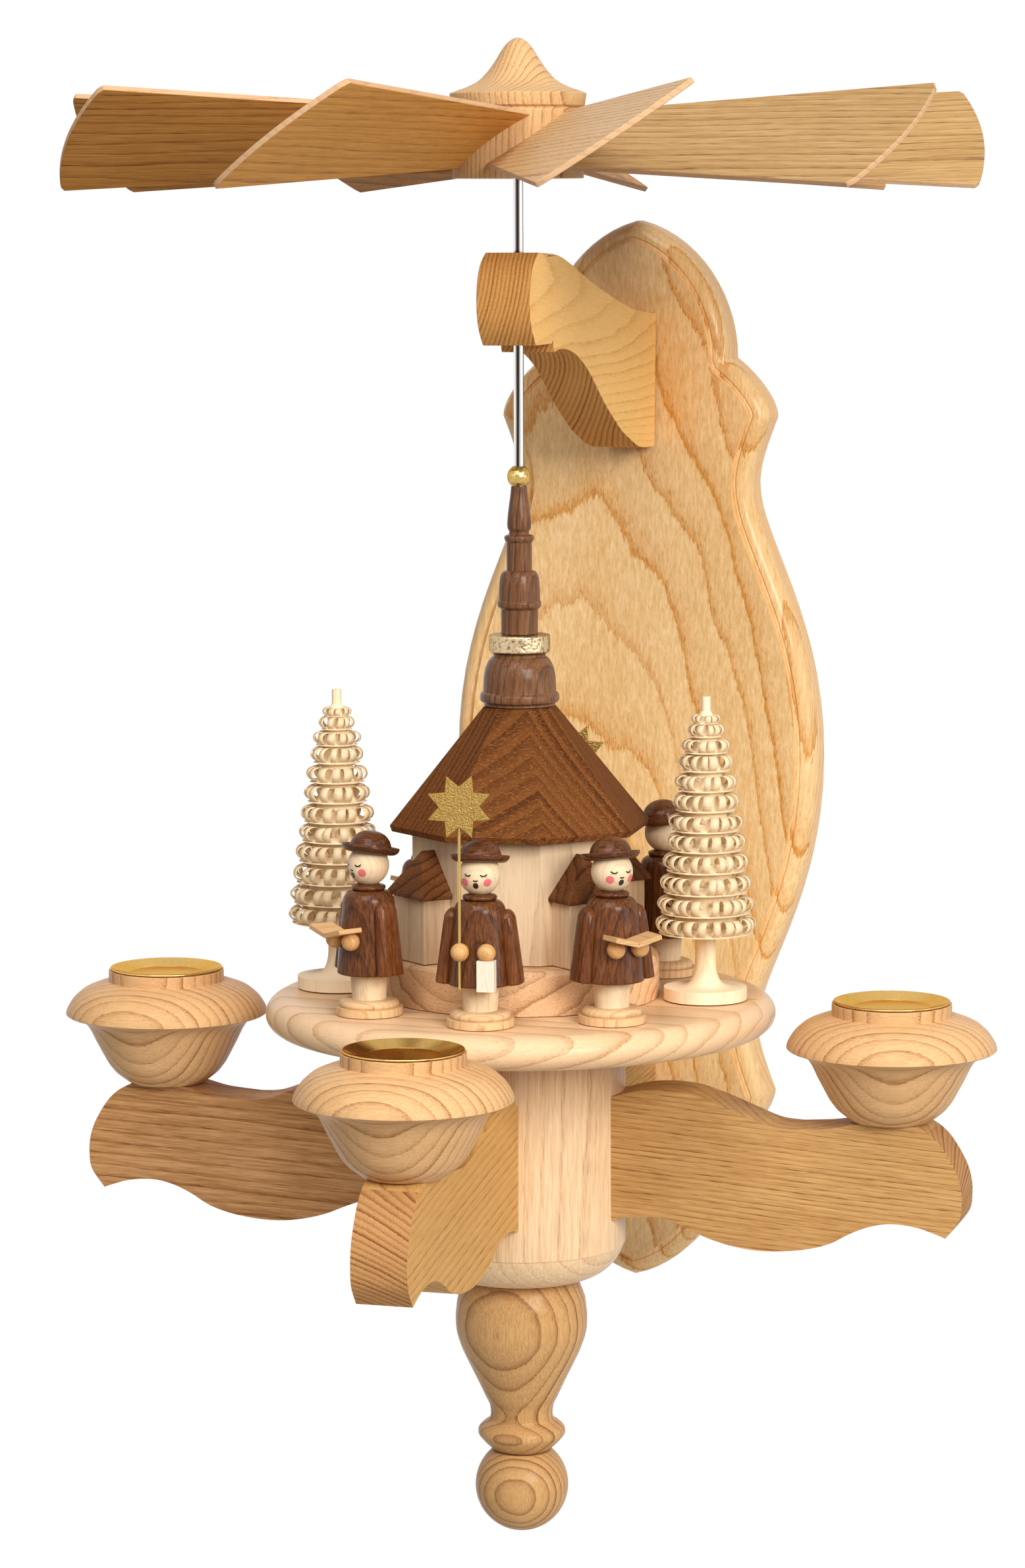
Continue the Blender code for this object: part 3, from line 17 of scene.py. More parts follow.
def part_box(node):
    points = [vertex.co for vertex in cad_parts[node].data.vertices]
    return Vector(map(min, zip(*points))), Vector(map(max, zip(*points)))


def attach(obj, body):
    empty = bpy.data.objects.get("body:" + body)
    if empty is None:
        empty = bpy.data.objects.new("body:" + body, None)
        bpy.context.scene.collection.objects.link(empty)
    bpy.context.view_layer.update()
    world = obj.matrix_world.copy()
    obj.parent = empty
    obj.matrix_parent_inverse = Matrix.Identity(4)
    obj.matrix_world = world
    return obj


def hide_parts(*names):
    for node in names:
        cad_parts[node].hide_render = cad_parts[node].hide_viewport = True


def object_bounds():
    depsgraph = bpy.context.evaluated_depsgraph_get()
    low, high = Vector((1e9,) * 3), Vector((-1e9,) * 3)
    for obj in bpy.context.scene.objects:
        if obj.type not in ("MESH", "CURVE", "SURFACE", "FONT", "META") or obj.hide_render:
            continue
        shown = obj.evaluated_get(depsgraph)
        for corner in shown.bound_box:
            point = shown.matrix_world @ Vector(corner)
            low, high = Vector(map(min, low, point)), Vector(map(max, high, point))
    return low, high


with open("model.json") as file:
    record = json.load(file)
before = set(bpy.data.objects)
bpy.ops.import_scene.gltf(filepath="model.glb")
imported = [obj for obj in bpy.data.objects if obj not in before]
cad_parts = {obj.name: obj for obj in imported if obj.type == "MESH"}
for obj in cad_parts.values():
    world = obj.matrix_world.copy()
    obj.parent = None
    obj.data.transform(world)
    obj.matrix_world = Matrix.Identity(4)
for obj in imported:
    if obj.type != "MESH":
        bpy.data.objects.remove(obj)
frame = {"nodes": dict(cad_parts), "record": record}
CAD_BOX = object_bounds()

MM = 0.001
FIXED = "wall_bracket"
TURNING = "carousel"

# Camera, fitted to the photograph
IMAGE_HEIGHT = 2380
FOCAL_PIXELS = 6937.0
SENSOR = 36.0
CAMERA_OFFSET = Vector((0.51630, -1.73065, 0.23345))    # from the shaft, at the board's middle
CAMERA_YAW = math.radians(16.70487)
CAMERA_PITCH = math.radians(7.10248)
CAMERA_ROLL = math.radians(-0.17938)

# Frame
JOINT = frame["record"]["behaviour"]["joints"][0]
SHAFT = Vector((JOINT["pos_m"][0], JOINT["pos_m"][1], 0))
REST_TURN = math.radians(4.7)
SIDES = 96
BLADES = 9
GRAIN = "timber"

TO_VIEWER = Vector((math.sin(CAMERA_YAW), -math.cos(CAMERA_YAW), 0))
UP = Vector((0, 0, 1))
RIGHT = Vector((1, 0, 0))
OUT = Vector((0, -1, 0))


# Helpers for places

def put(name, data):
    """A new object in the scene."""
    made = bpy.data.objects.new(name, data)
    bpy.context.scene.collection.objects.link(made)
    return made


def move(way):
    return Matrix.Translation(way)


def spin(angle, axis):
    return Matrix.Rotation(angle, 4, axis)


def about_shaft(angle):
    """The foot of the shaft's axis, turned about it."""
    return move(SHAFT) @ spin(angle, "Z")


# Camera, light and surroundings

def make_camera():
    data = bpy.data.cameras.new("camera")
    camera = put("camera", data)
    data.sensor_width = SENSOR
    data.lens = FOCAL_PIXELS / IMAGE_HEIGHT * SENSOR
    data.clip_start = 0.05
    data.clip_end = 50
    camera.location = SHAFT + CAMERA_OFFSET
    level = spin(CAMERA_YAW, "Z") @ spin(math.pi / 2 - CAMERA_PITCH, "X")
    camera.rotation_euler = (level @ spin(CAMERA_ROLL, "Z")).to_euler()
    bpy.context.scene.camera = camera


# Each lamp: degrees round from straight ahead toward +X, degrees up, distance, size, power, colour
LIGHTS = (
    ("key", 44.0, 22.0, 2.9, 1.25, 74.0, (1.0, 0.985, 0.955)),
    ("fill", -34.0, 22.0, 2.7, 1.3, 7.0, (1.0, 0.99, 0.97)),
    ("above", 2.0, 52.0, 2.6, 1.6, 40.0, (1.0, 1.0, 1.0)),
    ("top", 10.0, 80.0, 2.4, 1.0, 4.0, (1.0, 1.0, 1.0)),
    ("side", 82.0, 4.0, 2.4, 0.9, 8.0, (1.0, 0.99, 0.97)),
)
WORLD_LEVEL = 0.18


def make_light():
    for name, round_by, up_by, distance, size, power, colour in LIGHTS:
        data = bpy.data.lights.new(name, "AREA")
        data.shape = "SQUARE"
        data.size = size
        data.energy = power
        data.color = colour
        lamp = put(name, data)
        turn, lift = math.radians(round_by), math.radians(up_by)
        way = Vector((math.sin(turn) * math.cos(lift), -math.cos(turn) * math.cos(lift), math.sin(lift)))
        lamp.location = SHAFT + way * distance
        lamp.rotation_euler = (-way).to_track_quat("-Z", "Y").to_euler()
    world = bpy.data.worlds.new("studio")
    bpy.context.scene.world = world
    world.use_nodes = True
    nodes, links = world.node_tree.nodes, world.node_tree.links
    lit = nodes["Background"]
    lit.inputs["Color"].default_value = (1.0, 0.995, 0.985, 1)
    lit.inputs["Strength"].default_value = WORLD_LEVEL
    seen = nodes.new("ShaderNodeBackground")
    seen.inputs["Color"].default_value = (1, 1, 1, 1)
    path, mix = nodes.new("ShaderNodeLightPath"), nodes.new("ShaderNodeMixShader")
    direct = path.outputs["Is Camera Ray"]
    for ray in ("Is Glossy Ray", "Is Transmission Ray"):
        either = nodes.new("ShaderNodeMath")
        either.operation = "MAXIMUM"
        links.new(direct, either.inputs[0])
        links.new(path.outputs[ray], either.inputs[1])
        direct = either.outputs[0]
    links.new(direct, mix.inputs["Fac"])
    links.new(lit.outputs[0], mix.inputs[1])
    links.new(seen.outputs[0], mix.inputs[2])
    links.new(mix.outputs[0], nodes["World Output"].inputs["Surface"])
    bpy.context.scene.view_settings.view_transform = "Standard"


FLOOR_BELOW = 0.70
FLOOR_RADIUS = 1.2


def make_floor():
    mesh = bpy.data.meshes.new("floor")
    form = bmesh.new()
    bmesh.ops.create_circle(form, cap_ends=True, segments=SIDES, radius=FLOOR_RADIUS)
    form.to_mesh(mesh)
    form.free()
    floor = put("floor", mesh)
    floor.location = (SHAFT.x, SHAFT.y, CAD_BOX[0].z - FLOOR_BELOW)
    plain("floor_paper", (0.9, 0.9, 0.9), 0.9)
    mesh.materials.append(FINISHES["floor_paper"])


# Materials

FINISHES = {}


class Tree:
    """A short way to write the shader nodes of one finish."""

    def __init__(self, name):
        FINISHES[name] = bpy.data.materials.new(name)
        FINISHES[name].use_nodes = True
        self.nodes = FINISHES[name].node_tree.nodes
        self.links = FINISHES[name].node_tree.links
        self.shader = self.nodes["Principled BSDF"]

    def node(self, kind, inputs=(), **settings):
        made = self.nodes.new("ShaderNode" + kind)
        for key, value in settings.items():
            setattr(made, key, value)
        for socket, value in dict(inputs).items():
            self.feed(value, made.inputs[socket])
        return made

    def feed(self, value, socket):
        if isinstance(value, bpy.types.NodeSocket):
            self.links.new(value, socket)
        elif isinstance(value, bpy.types.Node):
            self.links.new(value.outputs[0], socket)
        else:
            socket.default_value = value

    def math(self, operation, first, second=0.0, third=0.0, clamp=False):
        inputs = {0: first, 1: second, 2: third}
        return self.node("Math", inputs, operation=operation, use_clamp=clamp).outputs[0]

    def vector(self, operation, first, second=(0, 0, 0)):
        made = self.node("VectorMath", {0: first, 1: second}, operation=operation)
        return made.outputs["Value" if operation == "LENGTH" else "Vector"]

    def noise(self, vector, detail, scale=1.0, rough=0.5):
        inputs = {"Vector": vector, "Scale": scale, "Detail": detail, "Roughness": rough}
        return self.node("TexNoise", inputs).outputs["Fac"]

    def ramp(self, value, stops):
        made = self.node("ValToRGB", {"Fac": value})
        elements = made.color_ramp.elements
        while len(elements) < len(stops):
            elements.new(0.5)
        for element, (place, colour) in zip(elements, stops):
            element.position = place
            element.color = (*colour, 1) if isinstance(colour, tuple) else (colour,) * 3 + (1,)
        return made.outputs["Color"]

    def mix(self, share, first, second):
        made = self.node("Mix", {0: share}, data_type="RGBA")
        for socket, value in ((6, first), (7, second)):
            value = (*value, 1) if isinstance(value, tuple) else value
            self.feed(value, made.inputs[socket])
        return made.outputs[2]

    def surface(self, **values):
        for name, value in values.items():
            label = name.replace("_", " ").title().replace("Ior", "IOR")
            self.feed(value, self.shader.inputs[label])

    def bump(self, height, distance):
        made = self.node("Bump", {"Height": height, "Distance": distance})
        self.feed(made.outputs[0], self.shader.inputs["Normal"])


def darker(colour, share):
    return tuple(part * share for part in colour)


def plain(name, colour, rough):
    """A painted or printed finish with a little unevenness."""
    tree = Tree(name)
    grey = tree.noise(tree.node("TexCoord").outputs["Object"], 3.0, 420.0)
    tree.surface(Base_Color=tree.ramp(grey, ((0.3, darker(colour, 0.86)), (0.7, colour))),
                 Roughness=tree.math("MULTIPLY_ADD", grey, 0.12, rough - 0.06))
    tree.bump(grey, 0.00004)


# Noise in timber: how fast it changes along the grain and across it, per millimetre
NOISES = {
    "sway": (0.01, 0.045), "ripple": (0.045, 0.22), "fray": (0.16, 2.2), "fibre": (0.06, 1.5),
    "pore": (0.17, 3.6), "patch": (0.006, 0.03), "grit": (0.9, 2.6), "fleck": (0.5, 2.4),
}


def wood(name, light, mid, dark, spacing=3.4, line=0.7, wave=0.5, streak=0.5, pores=0.6, rough=0.5, coat=0,
         bump=9e-05, fine=1, sharp=0.1, drift=0.5, speckle=0, feather=0.35, shine=0.1, thin=0, fleck=None):
    """Solid timber: rings about a pith, long fibres, open pores and slow drifts of colour.

    The attribute holds timber coordinates in millimetres, x along the grain, y and z from the pith.
    The spacing of the years is in millimetres too. The other values are shares or strengths.
    """
    tree = Tree(name)
    place = tree.node("Attribute", attribute_name=GRAIN).outputs["Vector"]

    def noise(kind, detail, pace=1.0, rough=0.5):
        along, across = (rate * pace for rate in NOISES[kind])
        return tree.noise(tree.vector("MULTIPLY", place, (along, across, across)), detail, 1.0, rough)

    def centred(value):
        return tree.math("SUBTRACT", value, 0.5)

    # Years: the distance from the pith, bent slowly, then quickly, then frayed by the fibres
    radius = tree.vector("LENGTH", tree.vector("MULTIPLY", place, (0, 1, 1)))
    radius = tree.math("MULTIPLY_ADD", centred(noise("sway", 1.0)), wave * 6, radius)
    radius = tree.math("MULTIPLY_ADD", centred(noise("ripple", 2.0)), wave * 0.9, radius)
    radius = tree.math("MULTIPLY_ADD", centred(noise("fray", 2.0, fine)), feather * 2, radius)
    turns = tree.math("DIVIDE", radius, spacing)
    year = tree.node("TexWhiteNoise", {"W": tree.math("FLOOR", turns)}, noise_dimensions="1D")
    stops = ((0.0, 1.0), (sharp, 0.72), (sharp * 2, 0.34), (0.46, 0.10), (0.955, 0.0), (0.985, 0.9))
    band = tree.ramp(tree.math("FRACT", turns), stops)
    strong = tree.math("MULTIPLY", band, tree.math("MULTIPLY_ADD", year.outputs["Value"], 0.75, 0.45))
    fibre = noise("fibre", 4.0, fine, 0.7)
    pore = tree.ramp(noise("pore", 1.0, fine), ((0.54, 0.0), (0.66, 1.0)))
    pore = tree.math("MULTIPLY", pore, tree.math("MULTIPLY_ADD", strong, 0.9, 0.22, clamp=True))
    tone = tree.math("MULTIPLY_ADD", centred(fibre), streak * 2.4, 0.5)
    tone = tree.math("MULTIPLY_ADD", centred(noise("patch", 2.0)), drift * 1.8, tone, clamp=True)
    body = tree.mix(tone, light, mid)
    body = tree.mix(tree.math("MULTIPLY", strong, line, clamp=True), body, dark)
    pitted = darker(dark, 0.62)
    colour = tree.mix(tree.math("MULTIPLY", pore, pores, clamp=True), body, pitted)
    if speckle:
        grit = tree.ramp(noise("grit", 2.0), ((0.60, 0.0), (0.68, 1.0)))
        colour = tree.mix(tree.math("MULTIPLY", grit, speckle), colour, pitted)
    if fleck:
        glint = tree.ramp(noise("fleck", 1.0), ((0.57, 0.0), (0.68, 0.7)))
        colour = tree.mix(glint, colour, fleck)
    tree.surface(Base_Color=colour, Roughness=tree.math("MULTIPLY_ADD", fibre, 0.16, rough - 0.08))
    tree.shader.inputs["Specular IOR Level"].default_value = shine
    if coat:
        tree.surface(Coat_Weight=coat, Coat_Roughness=0.16)
    if thin:
        through = tree.node("BsdfTranslucent", {"Color": colour})
        both = tree.node("MixShader", {0: thin, 1: tree.shader, 2: through})
        tree.feed(both, tree.nodes["Material Output"].inputs["Surface"])
    tree.bump(tree.math("MULTIPLY_ADD", fibre, 0.5, tree.math("MULTIPLY", pore, -0.9)), bump)


def metal(name, colour, rough, shade=0.80, rim=None):
    """Bare metal with fine marks along one way."""
    tree = Tree(name)
    place = tree.node("TexCoord").outputs["Object"]
    marks = tree.noise(tree.vector("MULTIPLY", place, (900.0, 900.0, 30.0)), 3.0)
    cloud = tree.noise(place, 2.0, 60.0)
    tone = tree.math("MULTIPLY_ADD", cloud, 0.5, tree.math("MULTIPLY", marks, 0.5))
    dark = darker(colour, shade)
    tree.surface(Base_Color=tree.ramp(tone, ((0.3, dark), (0.65, colour))), Metallic=1.0,
                 Roughness=tree.math("MULTIPLY_ADD", marks, 0.14, rough - 0.07),
                 Specular_Tint=(*(rim or colour), 1))
    tree.bump(marks, 0.00002)


# How far round the shaft the bright and dark bands of its painted reflection start (the camera's yaw, turned
# back)
REFLECTION_BANDS_TURN = math.radians(-16.70487)


def rod_with_painted_reflection(name, colour, shade, rough, bands):
    """Drawn rod: long bright and dark bands round the shaft's axis, painted into its colour as a reflection.
    """
    tree = Tree(name)
    place = tree.vector("SUBTRACT", tree.node("TexCoord").outputs["Object"], tuple(SHAFT))
    place = tree.node("VectorRotate", {"Vector": place, "Angle": REFLECTION_BANDS_TURN}, rotation_type="Z_AXIS")
    round_by = tree.node("TexGradient", {"Vector": place.outputs[0]}, gradient_type="RADIAL").outputs["Fac"]
    marks = tree.noise(tree.vector("MULTIPLY", place.outputs[0], (900.0, 900.0, 12.0)), 2.0)
    swing = tree.math("MULTIPLY_ADD", round_by, bands, tree.math("MULTIPLY", marks, 0.25))
    swing = tree.math("PINGPONG", swing, 0.5)
    tree.surface(Base_Color=tree.ramp(swing, ((0.12, shade), (0.40, colour))), Metallic=1.0, Roughness=rough)
    tree.bump(marks, 0.00001)


def gold_leaf(name, colour, shade, rough, grit):
    """Gold paint over wood: tiny flakes that catch the light."""
    tree = Tree(name)
    place = tree.node("TexCoord").outputs["Object"]
    flakes = tree.node("TexVoronoi", {"Vector": place, "Scale": grit})
    grain = tree.noise(place, 3.0, grit * 0.7)
    tone = tree.math("MULTIPLY_ADD", flakes.outputs["Distance"], 0.5, tree.math("MULTIPLY", grain, 0.6))
    tree.surface(Base_Color=tree.ramp(tone, ((0.25, shade), (0.6, colour))), Metallic=0.85,
                 Roughness=tree.math("MULTIPLY_ADD", grain, 0.25, rough - 0.12), Specular_Tint=(*colour, 1))
    tree.bump(tree.math("ADD", flakes.outputs["Distance"], grain), 0.00012)


def make_materials():
    """Each wood, paint and metal in the photograph."""
    wood("board_ash", (0.98, 0.7, 0.375), (0.76, 0.45, 0.165), (0.66, 0.27, 0.042), spacing=8.5, line=0.9,
         wave=1.5, streak=1, rough=0.4, coat=0.35, fine=0.5, sharp=0.07, drift=0.35, feather=1, shine=0.05)
    wood("board_edge_ash", (1, 0.66, 0.32), (0.88, 0.5, 0.2), (0.62, 0.29, 0.075), spacing=3, line=0.6,
         streak=1, pores=0.5, rough=0.45, coat=0.2, fine=0.7, shine=0.05)
    wood("arm_ash", (0.67, 0.4, 0.16), (0.495, 0.26, 0.088), (0.255, 0.098, 0.022), spacing=2, line=0.65,
         wave=0.3, streak=1.2, pores=0.8, fine=0.7, shine=0.06)
    wood("arm_wide_ash", (0.66, 0.355, 0.155), (0.4, 0.19, 0.065), (0.25, 0.088, 0.024), spacing=4.6,
         line=0.75, wave=0.6, streak=1.5, pores=0.9, fine=0.7, shine=0.06)
    wood("arm_end_ash", (0.62, 0.33, 0.135), (0.48, 0.225, 0.078), (0.2, 0.068, 0.016), spacing=2,
         line=0.85, wave=0.2, streak=0.9, pores=0.7, rough=0.55, sharp=0.2, shine=0.05)
    wood("arm_front_ash", (0.7, 0.405, 0.145), (0.58, 0.305, 0.092), (0.38, 0.155, 0.034), spacing=3.2,
         line=0.6, wave=0.4, streak=0.9, fine=0.8, shine=0.06)
    wood("upper_arm_ash", (1, 0.63, 0.235), (0.93, 0.51, 0.155), (0.66, 0.29, 0.065), spacing=2.3,
         line=0.45, wave=0.6, streak=0.8, pores=0.3, shine=0.05)
    # the upper arm's nose, top and underside: a darker copy of its timber; end grain on the nose, and partly
    # painted shade on the nose and underside
    wood("upper_end_grain_and_painted_shade_ash", (0.8, 0.42, 0.135), (0.68, 0.31, 0.082), (0.27, 0.085, 0.016), spacing=1.7,
         line=0.8, wave=0.15, streak=0.8, rough=0.55, sharp=0.2, shine=0.02)
    wood("post_ash", (0.9, 0.66, 0.42), (0.76, 0.5, 0.27), (0.58, 0.31, 0.12), line=0.35, wave=0.3,
         streak=1.4, rough=0.36, coat=0.12, fine=0.7)
    wood("bowl_ash", (0.78, 0.485, 0.24), (0.66, 0.37, 0.16), (0.38, 0.16, 0.045), spacing=4, line=0.85,
         streak=1, pores=0.7, rough=0.38, coat=0.06, fine=0.9, speckle=0.12, shine=0.06)
    wood("drop_ash", (0.72, 0.43, 0.19), (0.54, 0.285, 0.1), (0.25, 0.09, 0.022), spacing=4.4, line=0.95,
         streak=1.1, rough=0.34, coat=0.12, speckle=0.3, shine=0.06)
    wood("plate_ash", (0.86, 0.6, 0.37), (0.78, 0.49, 0.26), (0.54, 0.29, 0.12), spacing=7.5, line=0.8,
         wave=1.4, streak=0.7, pores=0.5, rough=0.36, coat=0.08, fine=0.8)
    wood("hub_ash", (0.72, 0.46, 0.235), (0.6, 0.36, 0.15), (0.32, 0.13, 0.036), spacing=2.2, wave=0.3,
         streak=1, pores=0.7, rough=0.45, speckle=0.25)
    wood("blade_ash", (0.73, 0.365, 0.088), (0.56, 0.25, 0.052), (0.34, 0.125, 0.022), spacing=4.2,
         line=0.55, wave=0.8, streak=1, pores=0.7, fine=0.6, shine=0.08)
    # darker copy of the blade timber: painted shade on the blades to the left
    wood("blade_painted_shade_ash", (0.56, 0.265, 0.066), (0.4, 0.165, 0.034), (0.18, 0.058, 0.01), wave=0.8,
         streak=1.3, pores=0.8, fine=0.6, shine=0.04)
    # paler copy of the blade timber: painted sheen on the blades to the right
    wood("blade_painted_sheen_ash", (0.55, 0.345, 0.147), (0.4, 0.225, 0.078), (0.19, 0.08, 0.02), spacing=3.6,
         line=0.65, wave=0.8, streak=1.3, pores=0.8, fine=0.6)
    wood("blade_edge_ash", (0.66, 0.42, 0.24), (0.6, 0.36, 0.19), (0.46, 0.25, 0.12), spacing=3.6,
         line=0.35, wave=0.6, pores=0.3, rough=0.6, shine=0.05)
    wood("plinth_pear", (0.92, 0.6, 0.34), (0.78, 0.46, 0.235), (0.4, 0.17, 0.06), spacing=6, wave=2,
         streak=1, pores=0.5, speckle=0.6)
    wood("wall_maple", (0.9, 0.69, 0.46), (0.77, 0.54, 0.335), (0.6, 0.37, 0.195), spacing=3, line=0.4,
         wave=0.8, streak=0.9, pores=0.25, drift=0.4)
    wood("roof_walnut", (0.21, 0.073, 0.018), (0.145, 0.046, 0.012), (0.07, 0.02, 0.006), spacing=2.5,
         line=0.75, wave=0.12, streak=0.9, pores=0.3, rough=0.65, bump=0.00016, sharp=0.3, feather=0.25,
         shine=0.04, fleck=(0.31, 0.135, 0.05))
    wood("turned_walnut", (0.25, 0.112, 0.048), (0.14, 0.056, 0.023), (0.044, 0.016, 0.007), spacing=3.2,
         wave=0.4, streak=1.7, rough=0.3, coat=0.22, fine=0.9, shine=0.06)
    wood("porch_walnut", (0.26, 0.095, 0.028), (0.125, 0.042, 0.013), (0.03, 0.01, 0.004), line=0.8,
         wave=0.9, streak=1.2, drift=1.2, shine=0.08)
    wood("coat_stain", (0.19, 0.064, 0.018), (0.07, 0.02, 0.006), (0.02, 0.006, 0.002), spacing=2.4,
         line=0.5, streak=1.7, pores=0.5, rough=0.3, coat=0.28, fine=0.9, drift=0.8, shine=0.05)
    wood("sleeve_stain", (0.215, 0.07, 0.019), (0.096, 0.027, 0.008), (0.028, 0.008, 0.003), spacing=2.4,
         line=0.5, streak=1.5, pores=0.5, rough=0.3, coat=0.24, fine=0.9, drift=0.7, shine=0.05)
    wood("doll_head", (0.88, 0.69, 0.46), (0.82, 0.61, 0.38), (0.66, 0.42, 0.22), spacing=2.2, line=0.25,
         pores=0.3, rough=0.42, coat=0.05, fine=1.3)
    wood("doll_base", (0.8, 0.54, 0.3), (0.72, 0.45, 0.22), (0.48, 0.25, 0.1), spacing=2.4, line=0.6,
         wave=0.6, pores=0.3, rough=0.42, coat=0.06, fine=1.2)
    wood("doll_hand", (0.74, 0.42, 0.17), (0.66, 0.35, 0.12), (0.46, 0.22, 0.07), spacing=1.6, line=0.4,
         wave=0.4, pores=0.2, rough=0.3, coat=0.2, fine=1.8)
    wood("book_maple", (0.72, 0.44, 0.21), (0.62, 0.36, 0.16), (0.44, 0.23, 0.09), spacing=1.5, line=0.4,
         wave=0.3, pores=0.2, fine=1.5)
    wood("lantern_lime", (0.9, 0.8, 0.66), (0.84, 0.72, 0.56), (0.72, 0.58, 0.42), spacing=1.6, line=0.4,
         wave=0.3, pores=0.2, fine=1.5)
    wood("curl_lime", (1, 0.89, 0.66), (1, 0.81, 0.53), (0.9, 0.63, 0.34), spacing=1.1, line=0.3, wave=0.3,
         pores=0.05, fine=2, drift=0.9, thin=0.3)
    wood("trunk_lime", (1, 0.84, 0.6), (0.97, 0.77, 0.51), (0.84, 0.6, 0.34), spacing=1.8, line=0.3,
         wave=0.4, pores=0.1, fine=1.5)
    metal("brass", (0.8, 0.52, 0.19), 0.2, shade=0.74, rim=(0.9, 0.66, 0.34))
    metal("rod_brass", (0.66, 0.43, 0.14), 0.22, rim=(0.9, 0.72, 0.4))
    metal("steel", (0.5, 0.49, 0.47), 0.22)
    # painted reflection: bright and dark bands along the steel shaft
    rod_with_painted_reflection("shaft_steel_painted_reflection", (0.92, 0.9, 0.87), (0.04, 0.026, 0.018), 0.16, 4)
    gold_leaf("gilt", (0.66, 0.5, 0.3), (0.13, 0.08, 0.03), 0.26, 800)
    gold_leaf("ball_gilt", (0.66, 0.45, 0.15), (0.44, 0.27, 0.08), 0.16, 900)
    gold_leaf("star_gilt", (0.34, 0.215, 0.062), (0.14, 0.08, 0.02), 0.42, 1700)
    gold_leaf("star_edge_gilt", (0.6, 0.3, 0.07), (0.34, 0.15, 0.03), 0.38, 1500)
    plain("face_ink", (0.012, 0.008, 0.007), 0.35)
    plain("face_pink", (0.8, 0.16, 0.17), 0.55)


# Geometry

def smooth_run(points, steps):
    """A curve through the points. A point written twice makes a corner."""
    runs = [[points[0]]]
    for point, after in zip(points[1:], points[2:] + [None]):
        runs[-1].append(point)
        if point == after:
            runs.append([])
    line = []
    for run in runs:
        for i in range(len(run) - 1):
            p0, p1, p2, p3 = (run[max(0, min(len(run) - 1, k))] for k in range(i - 1, i + 3))
            count = steps if len(run) > 2 else 1
            for step in range(count):
                t = step / count
                weights = (-0.5 * t + t * t - 0.5 * t ** 3, 1 - 2.5 * t * t + 1.5 * t ** 3,
                           0.5 * t + 2 * t * t - 1.5 * t ** 3, -0.5 * t * t + 0.5 * t ** 3)
                line.append(tuple(sum(w * p[a] for w, p in zip(weights, (p0, p1, p2, p3))) for a in (0, 1)))
    return line + [points[-1]]


def quarter(first, last, leaves="down", count=8):
    """A quarter of an ellipse between two profile points, leaving the first down or outward."""
    points = []
    for step in range(count + 1):
        angle = math.pi / 2 * step / count
        slow, fast = 1 - math.cos(angle), math.sin(angle)
        u, v = (slow, fast) if leaves == "down" else (fast, slow)
        points.append((first[0] + (last[0] - first[0]) * u, first[1] + (last[1] - first[1]) * v))
    return points


def new_object(name, form, place=None):
    mesh = bpy.data.meshes.new(name)
    bmesh.ops.recalc_face_normals(form, faces=form.faces)
    form.to_mesh(mesh)
    form.free()
    made = put(name, mesh)
    if place is not None:
        mesh.transform(place)
    return made


def lathe(form, profile, sides=SIDES):
    """Turn a profile of (radius, height) about Z in a bmesh."""
    rings = []
    for radius, height in profile:
        if radius < 1e-7:
            rings.append([form.verts.new((0, 0, height))])
            continue
        ring = []
        for step in range(sides):
            angle = math.tau * step / sides
            ring.append(form.verts.new((radius * math.cos(angle), radius * math.sin(angle), height)))
        rings.append(ring)
    for upper, lower in zip(rings, rings[1:]):
        for step in range(sides):
            after = (step + 1) % sides
            corners = [upper[step % len(upper)], upper[after % len(upper)],
                       lower[after % len(lower)], lower[step % len(lower)]]
            corners = list(dict.fromkeys(corners))
            if len(corners) > 2:
                form.faces.new(corners)


def turned(name, profile, place, sides=SIDES):
    form = bmesh.new()
    lathe(form, profile, sides)
    return new_object(name, form, place)


def sawn(name, outline, thickness, place):
    """A flat piece: the outline lies in X and Z, its thickness in Y."""
    form = bmesh.new()
    sides = []
    for y in (-thickness / 2, thickness / 2):
        sides.append([form.verts.new((x, y, z)) for x, z in outline])
    for side in sides:
        corners = [v.co for v in side]
        for triangle in tessellate_polygon([corners]):
            form.faces.new([side[i] for i in triangle])
    count = len(outline)
    for i in range(count):
        after = (i + 1) % count
        form.faces.new((sides[0][i], sides[0][after], sides[1][after], sides[1][i]))
    return new_object(name, form, place)


def block(form, size, place):
    """A box in a bmesh."""
    made = bmesh.ops.create_cube(form, size=1.0)["verts"]
    bmesh.ops.transform(form, verts=made, matrix=place @ Matrix.Diagonal((*size, 1)))


def ease(made, width, angle):
    """Soften the edges a little and shade the rest smooth."""
    made.data.shade_smooth()
    if width:
        step = made.modifiers.new("edge", "BEVEL")
        step.width = width
        step.segments = 2
        step.limit_method = "ANGLE"
        step.angle_limit = math.radians(angle)
        step.harden_normals = True
        step.use_clamp_overlap = True
    made.data.set_sharp_from_angle(angle=math.radians(angle))


